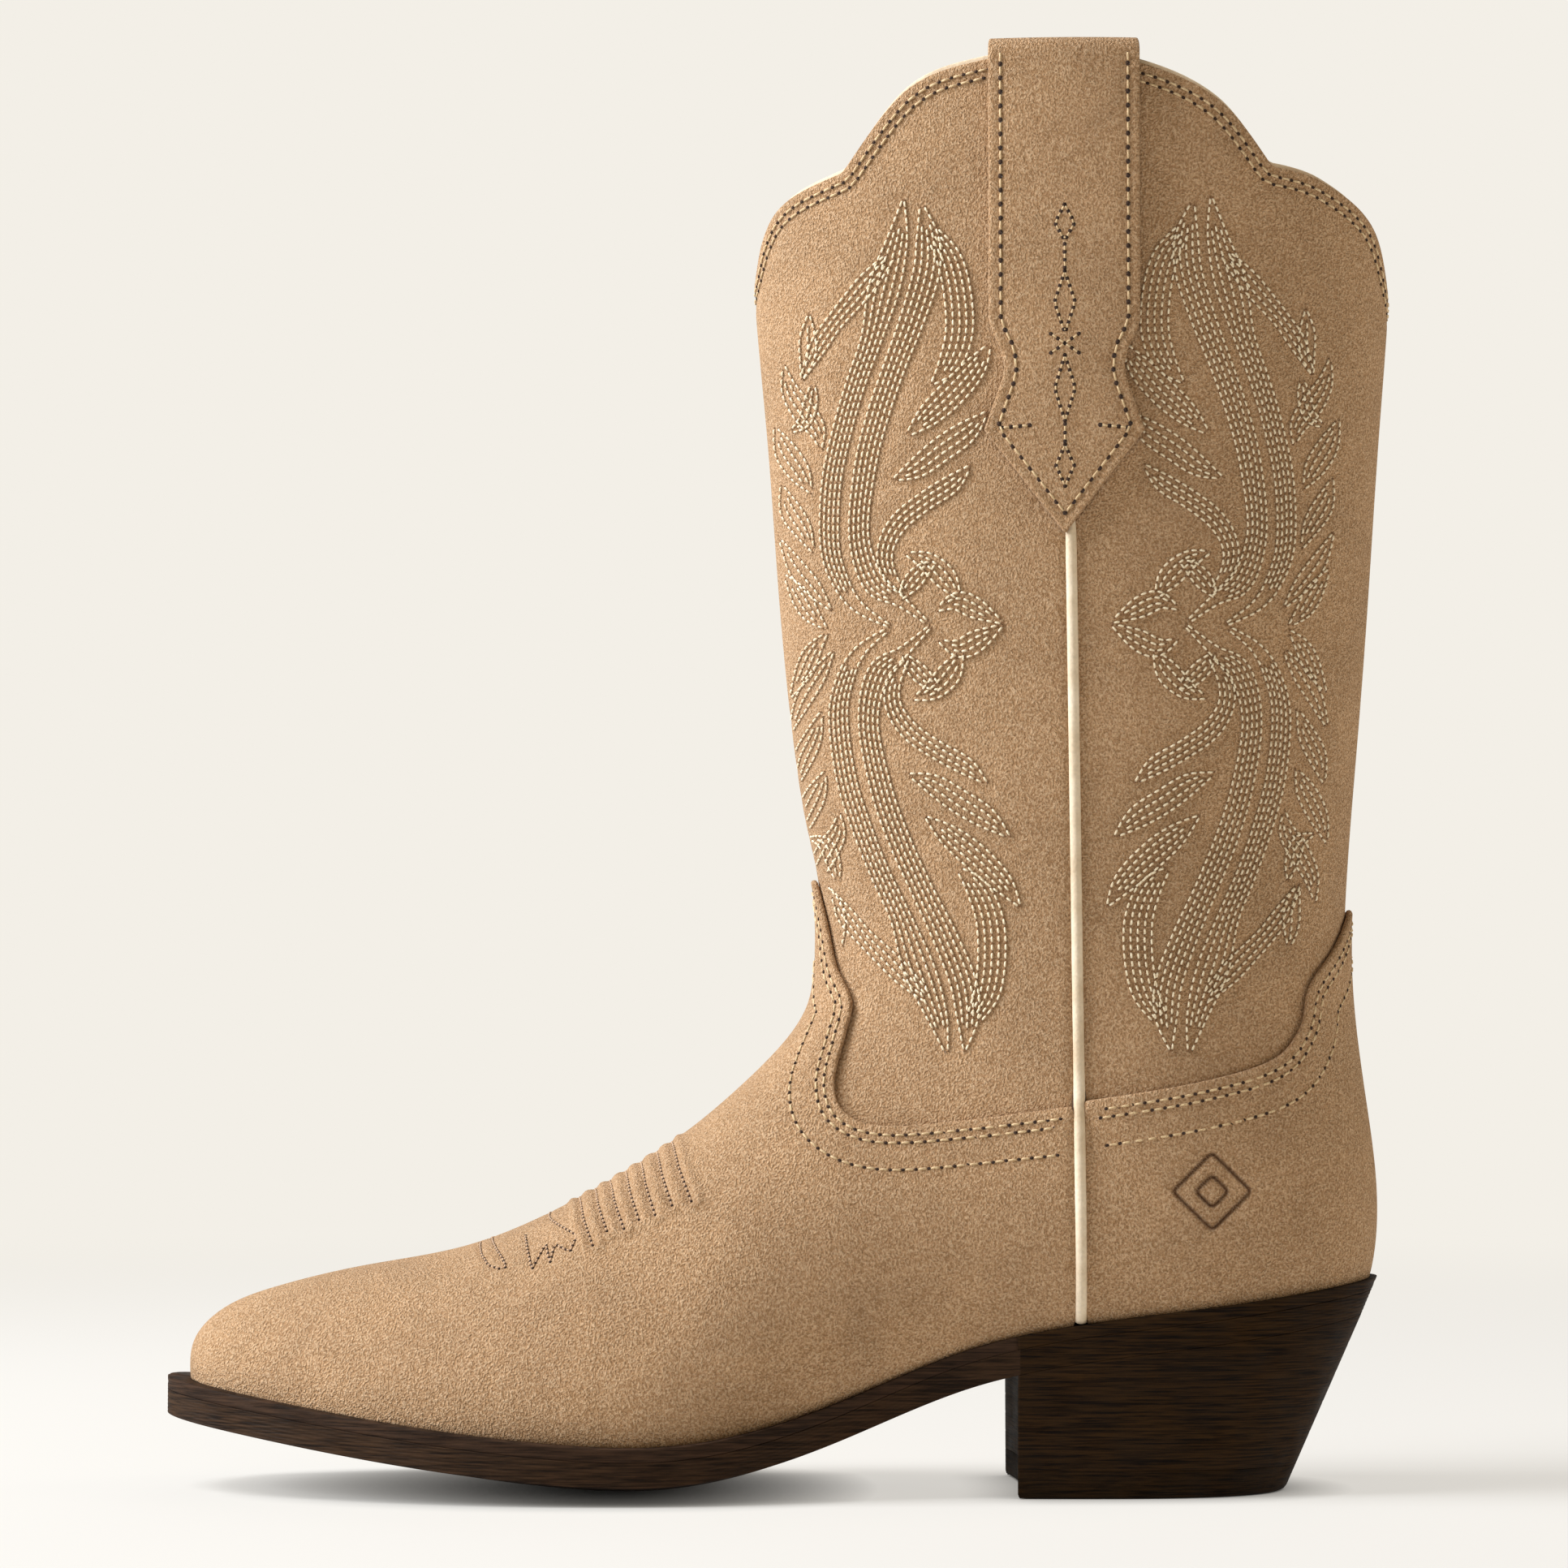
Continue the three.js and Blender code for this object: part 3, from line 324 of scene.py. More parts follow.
def form_point(u, angle):
    """Points of the form itself, which is the outer face of the vamp and counter cover."""
    s = station_curve(knot_of(u))
    down = np.clip((1 - np.cos(angle)) / 2, 0, 1)
    top, bottom = s[..., 7], s[..., 8]
    peak = top / (top + bottom)
    share = down**top * (1 - down) ** bottom / (peak**top * (1 - peak) ** bottom)
    width = np.where(np.sin(angle) < 0, s[..., 5], -s[..., 4])
    x = s[..., 0] + (s[..., 2] - s[..., 0]) * down
    z = s[..., 1] + (s[..., 3] - s[..., 1]) * down
    return np.stack([x, s[..., 6] + width * share, z], -1)


def form_normal(u, angle):
    small = 0.01
    along = form_point(np.minimum(u + small, LAST_U), angle) - form_point(u - small, angle)
    around = form_point(u, angle + small) - form_point(u, angle - small)
    return unit(np.cross(around, along))


def skin(u, angle, outward):
    """Points at a distance outward from the form, and the normals there."""
    normal = form_normal(u, angle)
    return form_point(u, angle) + normal * np.asarray(outward)[..., None], normal


def section_through(x, z):
    """The u of the section that passes through a point seen from the side, and how far down it."""
    low = np.full(np.shape(x), 0.02)
    high = np.full(np.shape(x), float(LAST_U))
    for _ in range(40):
        middle = (low + high) / 2
        s = station_curve(knot_of(middle))
        across = (s[..., 2] - s[..., 0]) * (z - s[..., 1]) - (s[..., 3] - s[..., 1]) * (x - s[..., 0])
        low = np.where(across > 0, middle, low)
        high = np.where(across > 0, high, middle)
    s = station_curve(knot_of(low))
    run, rise = s[..., 2] - s[..., 0], s[..., 3] - s[..., 1]
    down = ((x - s[..., 0]) * run + (z - s[..., 1]) * rise) / (run**2 + rise**2)
    return low, down


def from_side(points, outward=0.0):
    """(u, angle) of side-view points, on the outer side, at a distance outward from the form."""
    points = np.asarray(points, float)
    target = points.copy()
    for _ in range(5):
        u, down = section_through(target[:, 0], target[:, 1])
        angle = np.arccos(1 - 2 * np.clip(down, 0, 1))
        if not np.any(outward):
            break
        place, _ = skin(u, np.clip(angle, 1e-3, np.pi - 1e-3), np.full(len(u), outward))
        target += points - place[:, [0, 2]]
    return u, angle, down


# ---------------------------------------------------------------- paths on the leather

ANGLE_SCALE = 38.0  # millimetres of the flat pattern for one radian round the boot


def flat(u, angle):
    """Where (u, angle) lies in the flat pattern that outlines are cut in."""
    return np.stack([knot_of(u), np.asarray(angle, float) * ANGLE_SCALE], -1)


def unflat(points):
    return u_of(points[..., 0]), points[..., 1] / ANGLE_SCALE


def side_path(points, outward=0.0):
    """A side-view line as a flat pattern line on the outer side, cut off where it leaves the boot."""
    points = evenly(points, 0.6)
    u, angle, down = from_side(points, outward)
    kept = (down >= 0) & (down <= 1)
    path = flat(u[kept], angle[kept])
    if not kept[-1]:
        first_out = int(np.argmin(kept)) if kept[0] else len(kept) - int(np.argmax(~kept[::-1])) - 1
        end_angle = 0 if down[first_out] < 0 else math.pi
        path = np.vstack([path, flat(u[first_out], end_angle)])
    if not kept[0]:
        last_out = int(np.argmax(kept)) - 1
        end_angle = 0 if down[last_out] < 0 else math.pi
        path = np.vstack([flat(u[last_out], end_angle), path])
    return path


def mirrored(path, about_back=False):
    """The same path on the inner side: reflected about the ridge line, or about the back line."""
    other = path[::-1].copy()
    other[:, 1] = (2 * math.pi * ANGLE_SCALE if about_back else 0) - other[:, 1]
    return other


def seam_path(from_z, to_z, shift, outward):
    z = np.linspace(from_z, to_z, 80)
    u, angle, _ = from_side(np.stack([seam_x(z) + shift, z], 1), outward)
    return flat(u, angle)


def feather_crossing(u):
    """The angle at which the section at u meets the feather line."""
    low = np.full(np.shape(u), 0.3)
    high = np.ones(np.shape(u))
    for _ in range(40):
        down = (low + high) / 2
        place = form_point(u, np.arccos(1 - 2 * down))
        above = place[..., 2] > feather_height(place[..., 0])
        low = np.where(above, down, low)
        high = np.where(above, high, down)
    return np.arccos(1 - 2 * low)


def under_crossing(below, above):
    """The u at which the form's under line crosses the feather line."""
    for _ in range(40):
        u = (below + above) / 2
        under = form_point(np.array(u), np.array(math.pi))
        if under[2] < feather_height(under[0]):
            below = u
        else:
            above = u
    return below


FEATHER_START_U = under_crossing(3, 0)
FEATHER_END_U = under_crossing(8, 14)


def feather_path():
    """The feather line on the outer side from toe to heel, with its plan points."""
    t = (1 - np.cos(np.linspace(0, np.pi, 500))) / 2
    u = FEATHER_START_U + (FEATHER_END_U - FEATHER_START_U) * t
    angle = feather_crossing(u)
    return u, angle, form_point(u, angle)


FEATHER_U, FEATHER_ANGLE, FEATHER_OUTER = feather_path()
FEATHER_INNER = form_point(FEATHER_U, -FEATHER_ANGLE)


def feather_between(from_x, to_x):
    x = FEATHER_OUTER[:, 0]
    kept = (x >= from_x) & (x <= to_x)
    return flat(FEATHER_U[kept], FEATHER_ANGLE[kept])


def inset_path(path, distance, side=1):
    """A flat pattern path moved sideways by a true distance, less what would come too near it."""
    small = 0.2
    here = form_point(*unflat(path))
    first = (form_point(*unflat(path + [small, 0])) - here) / small
    second = (form_point(*unflat(path + [0, small])) - here) / small
    ahead = unit(np.gradient(here, axis=0))
    sideways = unit(np.cross(unit(np.cross(first, second)), ahead)) * side
    a, b, c = (np.sum(p * q, axis=1) for p, q in ((first, first), (first, second), (second, second)))
    p, q = np.sum(first * sideways, axis=1), np.sum(second * sideways, axis=1)
    step = np.stack([c * p - b * q, a * q - b * p], 1) / (a * c - b * b)[:, None] * distance
    for _ in range(3):
        gone = np.linalg.norm(form_point(*unflat(path + step)) - here, axis=1)
        step *= (distance / gone)[:, None]
    moved = path + step
    tree = search_tree(here)
    clear = [tree.find(place)[2] > distance * 0.95 for place in form_point(*unflat(moved))]
    return moved[np.array(clear)]


# ---------------------------------------------------------------- meshes


def to_row(points):
    return (np.asarray(points, float) + SHIFT) * MM


def make_piece(name, vertices, faces, materials, slot_name, replaced=(), indices=None):
    """A smooth mesh piece that rides on the boot and stands for the named CAD nodes."""
    mesh = bpy.data.meshes.new(name)
    mesh.from_pydata(to_row(vertices).tolist(), [], faces)
    mesh.polygons.foreach_set("use_smooth", [True] * len(mesh.polygons))
    piece = bpy.data.objects.new(name, mesh)
    bpy.context.scene.collection.objects.link(piece)
    for material in materials:
        mesh.materials.append(material)
    if indices is not None:
        mesh.polygons.foreach_set("material_index", indices)
    mesh.update()
    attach(piece, "root")
    if replaced:
        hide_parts(*replaced)
    return piece


def inside(points, outline):
    """Which points lie inside a closed outline."""
    x, y = points[:, 0], points[:, 1]
    result = np.zeros(len(points), bool)
    for (x0, y0), (x1, y1) in zip(outline, np.roll(outline, -1, axis=0)):
        if y0 == y1:
            continue
        crosses = (y0 > y) != (y1 > y)
        result ^= crosses & (x < x0 + (y - y0) * (x1 - x0) / (y1 - y0))
    return result


def lattice(low, high, spacing):
    rows = []
    for i, b in enumerate(np.arange(low[1] + spacing / 2, high[1], spacing * 0.866)):
        a = np.arange(low[0] + spacing * (0.25 + 0.5 * (i % 2)), high[0], spacing)
        rows.append(np.stack([a, np.full_like(a, b)], 1))
    return np.concatenate(rows)


def away_from(points, others, gap):
    """The flat points that lie further than a gap from all the others."""
    tree = search_tree(others)
    return points[[tree.find((*point, 0))[2] > gap for point in points]]


def triangulated(outline, spacing, extra=None):
    """Points and triangles that fill a flat outline, with the index of each outline point."""
    inner = lattice(outline.min(0), outline.max(0), spacing)
    if extra is not None:
        inner = np.vstack([away_from(inner, extra, spacing * 0.6), extra])
    inner = away_from(inner[inside(inner, outline)], outline, spacing * 0.45)
    points = np.vstack([outline, inner])
    loop = list(range(len(outline)))
    result = delaunay_2d_cdt([Vector(p) for p in points], [], [loop], 1, 1e-7)
    places, _, triangles, origins = result[:4]
    index = {old: new for new, olds in enumerate(origins) for old in olds}
    ring = np.array([index[i] for i in loop])
    return np.array([[p.x, p.y] for p in places]), triangles, ring


def outward_in_flat(ring_points):
    """Unit vectors pointing out of a closed flat outline, one for each of its points."""
    after = np.roll(ring_points, -1, axis=0)
    before = np.roll(ring_points, 1, axis=0)
    ahead = unit(after - before)
    area = np.sum(ring_points[:, 0] * after[:, 1] - after[:, 0] * ring_points[:, 1])
    return np.stack([ahead[:, 1], -ahead[:, 0]], 1) * np.sign(area)


def layered_mesh(outline, spacing, place, levels, closed_edges=None, extra=None):
    """A closed sheet: its first and last levels are filled, and the others form its edge.

    place(points, outward, level) gives solid points; closed_edges marks outline edges that meet
    another edge of the same sheet, which get no rim.
    """
    points, triangles, ring = triangulated(outline, spacing, extra)
    outward = outward_in_flat(points[ring])
    full_outward = np.zeros_like(points)
    full_outward[ring] = outward
    first = place(points, full_outward, levels[0])
    last = place(points, full_outward, levels[-1])
    rims = [place(points[ring], outward, level) for level in levels[1:-1]]
    vertices = np.vstack([first, last, *rims])
    count = len(points)
    faces = [list(t) for t in triangles]
    faces += [[a + count, c + count, b + count] for a, b, c in triangles]
    loops = [ring]
    loops += [2 * count + len(ring) * k + np.arange(len(ring)) for k in range(len(rims))]
    loops.append(ring + count)
    size = len(ring)
    for upper, lower in zip(loops, loops[1:]):
        for i in range(size):
            if closed_edges is not None and closed_edges[i]:
                continue
            j = (i + 1) % size
            faces.append([int(upper[i]), int(lower[i]), int(lower[j]), int(upper[j])])
    return vertices, faces


def tube(rings):
    """Vertices and faces of a solid through rings of points, each given as a closed loop."""
    count, size = rings.shape[:2]
    faces = []
    for start in range(0, (count - 1) * size, size):
        for k in range(size):
            j = (k + 1) % size
            faces.append([start + k, start + j, start + size + j, start + size + k])
    faces.append(list(range(size)))
    faces.append([(count - 1) * size + k for k in range(size)])
    return rings.reshape(-1, 3), faces


def copies(layers, pattern):
    """One mesh of many shapes with the same faces; each layer holds one vertex of every shape."""
    vertices = np.stack(layers, 1)
    count, size = vertices.shape[:2]
    faces = [[v + i * size for v in face] for i in range(count) for face in pattern]
    return vertices.reshape(-1, 3), faces


def tidy_mesh(piece, merge=0.0):
    """Turns every face outwards and joins vertices that coincide."""
    mesh = bmesh.new()
    mesh.from_mesh(piece.data)
    if merge:
        bmesh.ops.remove_doubles(mesh, verts=mesh.verts, dist=merge * MM)
    loose = [v for v in mesh.verts if not v.link_faces]
    bmesh.ops.delete(mesh, geom=loose, context="VERTS")
    bmesh.ops.recalc_face_normals(mesh, faces=mesh.faces)
    mesh.to_mesh(piece.data)
    mesh.free()
    piece.data.polygons.foreach_set("use_smooth", [True] * len(piece.data.polygons))
    return piece


# ---------------------------------------------------------------- materials


def set_inputs(node, values):
    """Sets sockets given by name, with _ for a space."""
    for socket, value in values.items():
        node.inputs[socket.replace("_", " ")].default_value = value


def new_node(tree, kind, **values):
    node = tree.nodes.new("ShaderNode" + kind)
    set_inputs(node, values)
    return node


def node_material(name, roughness, bump_strength=0.3, bump_distance=0.4, **shader):
    """A material, its node tree, its shader, and the bump node that feeds the shader."""
    material = bpy.data.materials.new(name)
    material.use_nodes = True
    tree = material.node_tree
    principled = tree.nodes["Principled BSDF"]
    set_inputs(principled, {"Roughness": roughness, **shader})
    bump = new_node(tree, "Bump", Strength=bump_strength, Distance=bump_distance * MM)
    tree.links.new(bump.outputs["Normal"], principled.inputs["Normal"])
    return material, tree, principled, bump


def place_vector(tree, stretch=(1, 1, 1)):
    """Object coordinates in millimetres, stretched along the axes."""
    coordinates = new_node(tree, "TexCoord")
    mapping = new_node(tree, "Mapping", Scale=[1 / (MM * s) for s in stretch])
    tree.links.new(coordinates.outputs["Object"], mapping.inputs["Vector"])
    return mapping.outputs["Vector"]


def noise(tree, vector, size, detail=3.0, roughness=0.55, distortion=0.0):
    """Noise whose features are about size millimetres across."""
    node = new_node(
        tree, "TexNoise", Scale=1 / size, Detail=detail, Roughness=roughness, Distortion=distortion
    )
    tree.links.new(vector, node.inputs["Vector"])
    return node.outputs["Fac"]


def cells(tree, vector, size):
    """Distance from the middles of cells that are about size millimetres across."""
    node = new_node(tree, "TexVoronoi", Scale=1 / size)
    tree.links.new(vector, node.inputs["Vector"])
    return node.outputs["Distance"]


def ramp(tree, factor, stops):
    """Colours at positions along a factor."""
    node = new_node(tree, "ValToRGB")
    elements = node.color_ramp.elements
    while len(elements) < len(stops):
        elements.new(0.5)
    for element, (position, colour) in zip(elements, stops):
        element.position = position
        element.color = (*colour, 1)
    tree.links.new(factor, node.inputs["Fac"])
    return node.outputs["Color"]


def mixed(tree, kind, factor, first, second):
    """Two colours mixed by a number, or by the value of another node."""
    node = new_node(tree, "Mix")
    node.data_type = "RGBA"
    node.blend_type = kind
    if isinstance(factor, float):
        node.inputs["Factor"].default_value = factor
    else:
        tree.links.new(factor, node.inputs["Factor"])
    tree.links.new(first, node.inputs["A"])
    tree.links.new(second, node.inputs["B"])
    return node.outputs["Result"]


def total(tree, first, second, weight):
    """first + weight * second, for bump heights."""
    node = new_node(tree, "Math")
    node.operation = "MULTIPLY_ADD"
    node.inputs[1].default_value = weight
    tree.links.new(second, node.inputs[0])
    tree.links.new(first, node.inputs[2])
    return node.outputs["Value"]


def grey(value):
    return (value, value, value)


def srgb(red, green, blue):
    """A linear colour from its display values, 0 to 255."""
    return tuple(
        c / 12.92 if c <= 0.04045 else ((c + 0.055) / 1.055) ** 2.4
        for c in (red / 255, green / 255, blue / 255)
    )


def suede_material():
    """Short brushed nap, darker where it is pressed down and where shade is painted on."""
    material, tree, principled, bump = node_material(
        "suede_nap", 0.95, bump_strength=1.0, bump_distance=0.8,
        Sheen_Weight=0.15, Sheen_Roughness=0.5, Sheen_Tint=(*srgb(255, 232, 205), 1),
        Specular_IOR_Level=0.15,
    )
    vector = place_vector(tree)
    nap = noise(tree, place_vector(tree, (1.0, 1.0, 1.2)), 0.5, 1.0, 0.5, 0.2)
    speckle = noise(tree, vector, 0.32, 1.0, 0.6)
    clouds = noise(tree, vector, 22.0, 4.0, 0.5, 0.8)
    base = ramp(tree, nap, [
        (0.34, srgb(170, 131, 93)),
        (0.50, srgb(193, 154, 116)),
        (0.66, srgb(214, 179, 143)),
    ])
    shade = ramp(tree, clouds, [(0.34, grey(0.9)), (0.66, grey(1.04))])
    grain = ramp(tree, speckle, [(0.34, grey(0.87)), (0.66, grey(1.08))])
    colour = mixed(tree, "MULTIPLY", 1.0, mixed(tree, "MULTIPLY", 1.0, base, shade), grain)
    pressed_and_shaded = new_node(tree, "Attribute")
    pressed_and_shaded.attribute_name = "pressed_and_shaded"
    # painted shade: a dark brown for pressed nap, and for shade painted along the strap's cut edges and in
    # the emblem's grooves
    press_and_shade_colour = ramp(tree, speckle, [(0.3, srgb(58, 32, 18)), (0.7, srgb(96, 60, 38))])
    colour = mixed(tree, "MIX", pressed_and_shaded.outputs["Fac"], colour, press_and_shade_colour)
    tree.links.new(colour, principled.inputs["Base Color"])
    tree.links.new(total(tree, nap, speckle, 0.7), bump.inputs["Height"])
    return material


def smooth_leather(name, dark, middle, light, size, roughness):
    """Finished leather with fine pores and faint cloudy colour."""
    material, tree, principled, bump = node_material(name, roughness, bump_strength=0.3, bump_distance=0.2)
    vector = place_vector(tree)
    grain = cells(tree, vector, size * 0.45)
    clouds = noise(tree, vector, size * 6, 4.0)
    fine = noise(tree, vector, size * 0.5, 3.0)
    base = ramp(tree, clouds, [(0.3, dark), (0.52, middle), (0.75, light)])
    pores = ramp(tree, fine, [(0.25, grey(0.86)), (0.6, grey(1.03))])
    tree.links.new(mixed(tree, "MULTIPLY", 0.8, base, pores), principled.inputs["Base Color"])
    uneven = ramp(tree, clouds, [(0.3, grey(roughness - 0.08)), (0.7, grey(min(roughness + 0.12, 1)))])
    tree.links.new(uneven, principled.inputs["Roughness"])
    tree.links.new(total(tree, grain, fine, 0.7), bump.inputs["Height"])
    return material


def streaked_leather(name, dark, light, roughness, streak, lengthways):
    """Dark waxed edge leather with fine level streaks, as on a sanded stack of leather."""
    material, tree, principled, bump = node_material(
        name, roughness, bump_strength=0.5, bump_distance=0.3, Specular_IOR_Level=0.1
    )
    streaks_at = place_vector(tree, (lengthways, lengthways, streak))
    streaks = noise(tree, streaks_at, 1.0, 4.0, 0.62, 0.25)
    patches = noise(tree, place_vector(tree), 9.0, 3.0)
    fine = noise(tree, place_vector(tree), 0.7, 2.0)
    base = ramp(tree, streaks, [(0.36, dark), (0.6, light)])
    shade = ramp(tree, patches, [(0.3, grey(0.75)), (0.7, grey(1.15))])
    tree.links.new(mixed(tree, "MULTIPLY", 0.85, base, shade), principled.inputs["Base Color"])
    uneven = ramp(tree, patches, [(0.3, grey(roughness - 0.1)), (0.7, grey(roughness + 0.12))])
    tree.links.new(uneven, principled.inputs["Roughness"])
    tree.links.new(total(tree, streaks, fine, 0.35), bump.inputs["Height"])
    return material


def thread_material(name, dark, light):
    """Twisted sewing thread."""
    material, tree, principled, bump = node_material(
        name, 0.55, bump_strength=0.5, bump_distance=0.1, Sheen_Weight=0.3
    )
    fibres = noise(tree, place_vector(tree, (1, 1, 2)), 0.35, 3.0, 0.6, 1.0)
    tree.links.new(ramp(tree, fibres, [(0.3, dark), (0.65, light)]), principled.inputs["Base Color"])
    tree.links.new(fibres, bump.inputs["Height"])
    return material


def painted_shade_material(name, dark, light):
    """Painted shade: the dark of a needle hole's recess, or of the seam beside the piping."""
    material, tree, principled, bump = node_material(name, 0.95, bump_strength=0.2)
    fibres = noise(tree, place_vector(tree), 0.3, 2.0)
    tree.links.new(ramp(tree, fibres, [(0.3, dark), (0.7, light)]), principled.inputs["Base Color"])
    tree.links.new(fibres, bump.inputs["Height"])
    return material


def granular_material(name, dark, light, size):
    """Cork, board, foam or cloth: small grains of two colours."""
    material, tree, principled, bump = node_material(name, 0.9, bump_strength=0.4)
    vector = place_vector(tree)
    lumps = cells(tree, vector, size)
    grain = noise(tree, vector, size * 1.5, 3.0)
    base = ramp(tree, grain, [(0.3, dark), (0.7, light)])
    edges = ramp(tree, lumps, [(0.0, grey(0.8)), (0.6, grey(1.05))])
    tree.links.new(mixed(tree, "MULTIPLY", 0.7, base, edges), principled.inputs["Base Color"])
    tree.links.new(lumps, bump.inputs["Height"])
    return material


def steel_material():
    material, tree, principled, bump = node_material("plain_steel", 0.35, bump_strength=0.15, Metallic=1.0)
    scratches = noise(tree, place_vector(tree, (8, 0.4, 0.4)), 1.0, 3.0)
    for socket, low, high in (("Base Color", 0.5, 0.68), ("Roughness", 0.28, 0.45)):
        shades = ramp(tree, scratches, [(0.3, grey(low)), (0.7, grey(high))])
        tree.links.new(shades, principled.inputs[socket])
    tree.links.new(scratches, bump.inputs["Height"])
    return material


SUEDE = suede_material()
PIPING = smooth_leather(
    "piping_smooth", srgb(206, 182, 150), srgb(226, 206, 178), srgb(238, 222, 198), size=1.6, roughness=0.6
)
LINING = smooth_leather(
    "lining_smooth", srgb(206, 180, 148), srgb(226, 204, 174), srgb(236, 219, 194), size=2.4, roughness=0.65
)
WELT = streaked_leather("welt_waxed", srgb(32, 20, 12), srgb(64, 45, 32), 0.65, 0.5, 12.0)
SOLE = streaked_leather("sole_edge", srgb(26, 15, 7), srgb(62, 43, 28), 0.66, 0.5, 12.0)
HEEL = streaked_leather("heel_stack", srgb(11, 3, 0), srgb(50, 32, 12), 0.7, 0.42, 12.0)
RUBBER = streaked_leather("heel_lift", srgb(12, 4, 0), srgb(44, 28, 10), 0.75, 0.5, 10.0)
IVORY_THREAD = thread_material("ivory_thread", srgb(220, 196, 156), srgb(255, 242, 214))
TAN_THREAD = thread_material("tan_thread", srgb(176, 142, 98), srgb(232, 205, 160))
TONED_THREAD = thread_material("toned_thread", srgb(168, 130, 96), srgb(212, 176, 140))
# painted shade of the needle holes: dark ones, and lighter ones for the flame stitching's shallow holes
HOLE_SHADE = painted_shade_material("needle_hole_shade", srgb(30, 16, 8), srgb(66, 40, 22))
# painted shade beside the piping, on the cord's lower faces
PAINTED_SEAM_SHADE = painted_shade_material("painted_seam_shade", srgb(44, 26, 14), srgb(92, 62, 38))
SOFT_HOLE_SHADE = painted_shade_material("shallow_hole_shade", srgb(122, 86, 54), srgb(150, 112, 76))
BOARD = granular_material("pressed_board", srgb(120, 90, 60), srgb(150, 118, 84), 0.8)
CLOTH = granular_material("backing_weave", srgb(200, 194, 180), srgb(226, 220, 206), 0.6)
CORK = granular_material("cork_grains", srgb(130, 92, 56), srgb(186, 140, 92), 1.6)
FOAM = granular_material("insole_foam", srgb(190, 176, 150), srgb(214, 202, 180), 0.5)
STEEL = steel_material()

HIDDEN_NODE_MATERIALS = {
    "toe_puff": BOARD,
    "heel_stiffener": BOARD,
    "vamp_backer": CLOTH,
    "insole_board": BOARD,
    "shank_board": BOARD,
    "cork_filler": CORK,
    "heel_pad": FOAM,
    "shank": STEEL,
    "shank_rivet_front": STEEL,
    "shank_rivet_back": STEEL,
    **{f"heel_nail_{i}": STEEL for i in range(1, 6)},
}


def finish_carried_nodes():
    """The layers that stay as CAD solids inside the boot get their own materials."""
    for name, material in HIDDEN_NODE_MATERIALS.items():
        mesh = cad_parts[name].data
        mesh.materials.clear()
        mesh.materials.append(material)


# ---------------------------------------------------------------- leather sheets

EDGE_ROUND = 0.4  # bulge of a cut edge, as a share of the sheet's thickness
EDGE_LEVELS = 4
EDGE_PROBE = 0.2  # flat pattern distance that tells which way the edge faces
SHEET_SPACING = 1.5
LINING_SPACING = 3.0


def edge_levels(thickness):
    """(outset, depth) round a cut edge, from the outer face to the inner one."""
    turns = np.linspace(0, math.pi, EDGE_LEVELS + 1)
    return [(EDGE_ROUND * thickness * math.sin(a), thickness / 2 * (1 - math.cos(a))) for a in turns]


def leather_placer(depth, relief=None):
    """Turns flat pattern points into solid ones, for layered_mesh."""

    def place(points, outward, level):
        outset, inward = level
        u, angle = unflat(points)
        bulge = 0.0
        if relief is not None and inward == 0:
            bulge = relief(form_point(u, angle))
        solid, _ = skin(u, angle, -depth - inward + bulge)
        if outset:
            at_depth = np.full(len(points), -depth - inward)
            ahead, _ = skin(*unflat(points + outward * EDGE_PROBE), at_depth)
            back, _ = skin(*unflat(points - outward * EDGE_PROBE), at_depth)
            solid = solid + unit(ahead - back) * outset
        return solid

    return place


def paint_press_and_shade(piece, shares):
    """Marks how far the nap is darkened at each point, where it is pressed down and where shade is painted
    on.
    """
    pressed_and_shaded = piece.data.attributes.new("pressed_and_shaded", "FLOAT", "POINT")
    pressed_and_shaded.data.foreach_set("value", shares)


def leather_sheet(name, outline, depth, thickness, spacing, material, slot_name, replaced, **options):
    """One leather layer, cut to a closed outline in the flat pattern."""
    relief = options.get("relief")
    closed_edges = options.get("closed_edges")
    vertices, faces = layered_mesh(
        outline,
        spacing,
        leather_placer(depth, relief),
        edge_levels(thickness),
        closed_edges,
        options.get("extra"),
    )
    piece = make_piece(name, vertices, faces, [material], slot_name, replaced)
    if "pressed_and_shaded" in options:
        paint_press_and_shade(piece, options["pressed_and_shaded"](vertices))
    return tidy_mesh(piece, 0.02 if closed_edges is not None else 0.0)


def joined_path(*paths, spacing=1.0):
    """Paths end to end, with their points spread evenly and the corners kept."""
    spread = [evenly(path, spacing) for path in paths]
    points = np.vstack(spread)
    gaps = np.linalg.norm(points - np.roll(points, 1, axis=0), axis=1)
    return points[gaps > spacing * 0.2]


def topline(end, rise=0.0):
    """The shaft's top edge on the outer side, from the strap to the front (-1) or back (1) line."""
    lobe = FRONT_LOBE if end == FRONT else BACK_LOBE
    line = np.vstack([smooth_curve(CREST)[::end], smooth_curve(lobe)[::end]]) + [0, rise]
    return side_path(line[end * (line[:, 0] - seam_x(CREST_Z)) > 0], -PANEL_DEPTH)


def cut_line(points, end, limit):
    """A side-view curve through points, before (end -1) or behind (1) an x limit."""
    line = smooth_curve(points)
    return line[end * (line[:, 0] - limit) > 0]


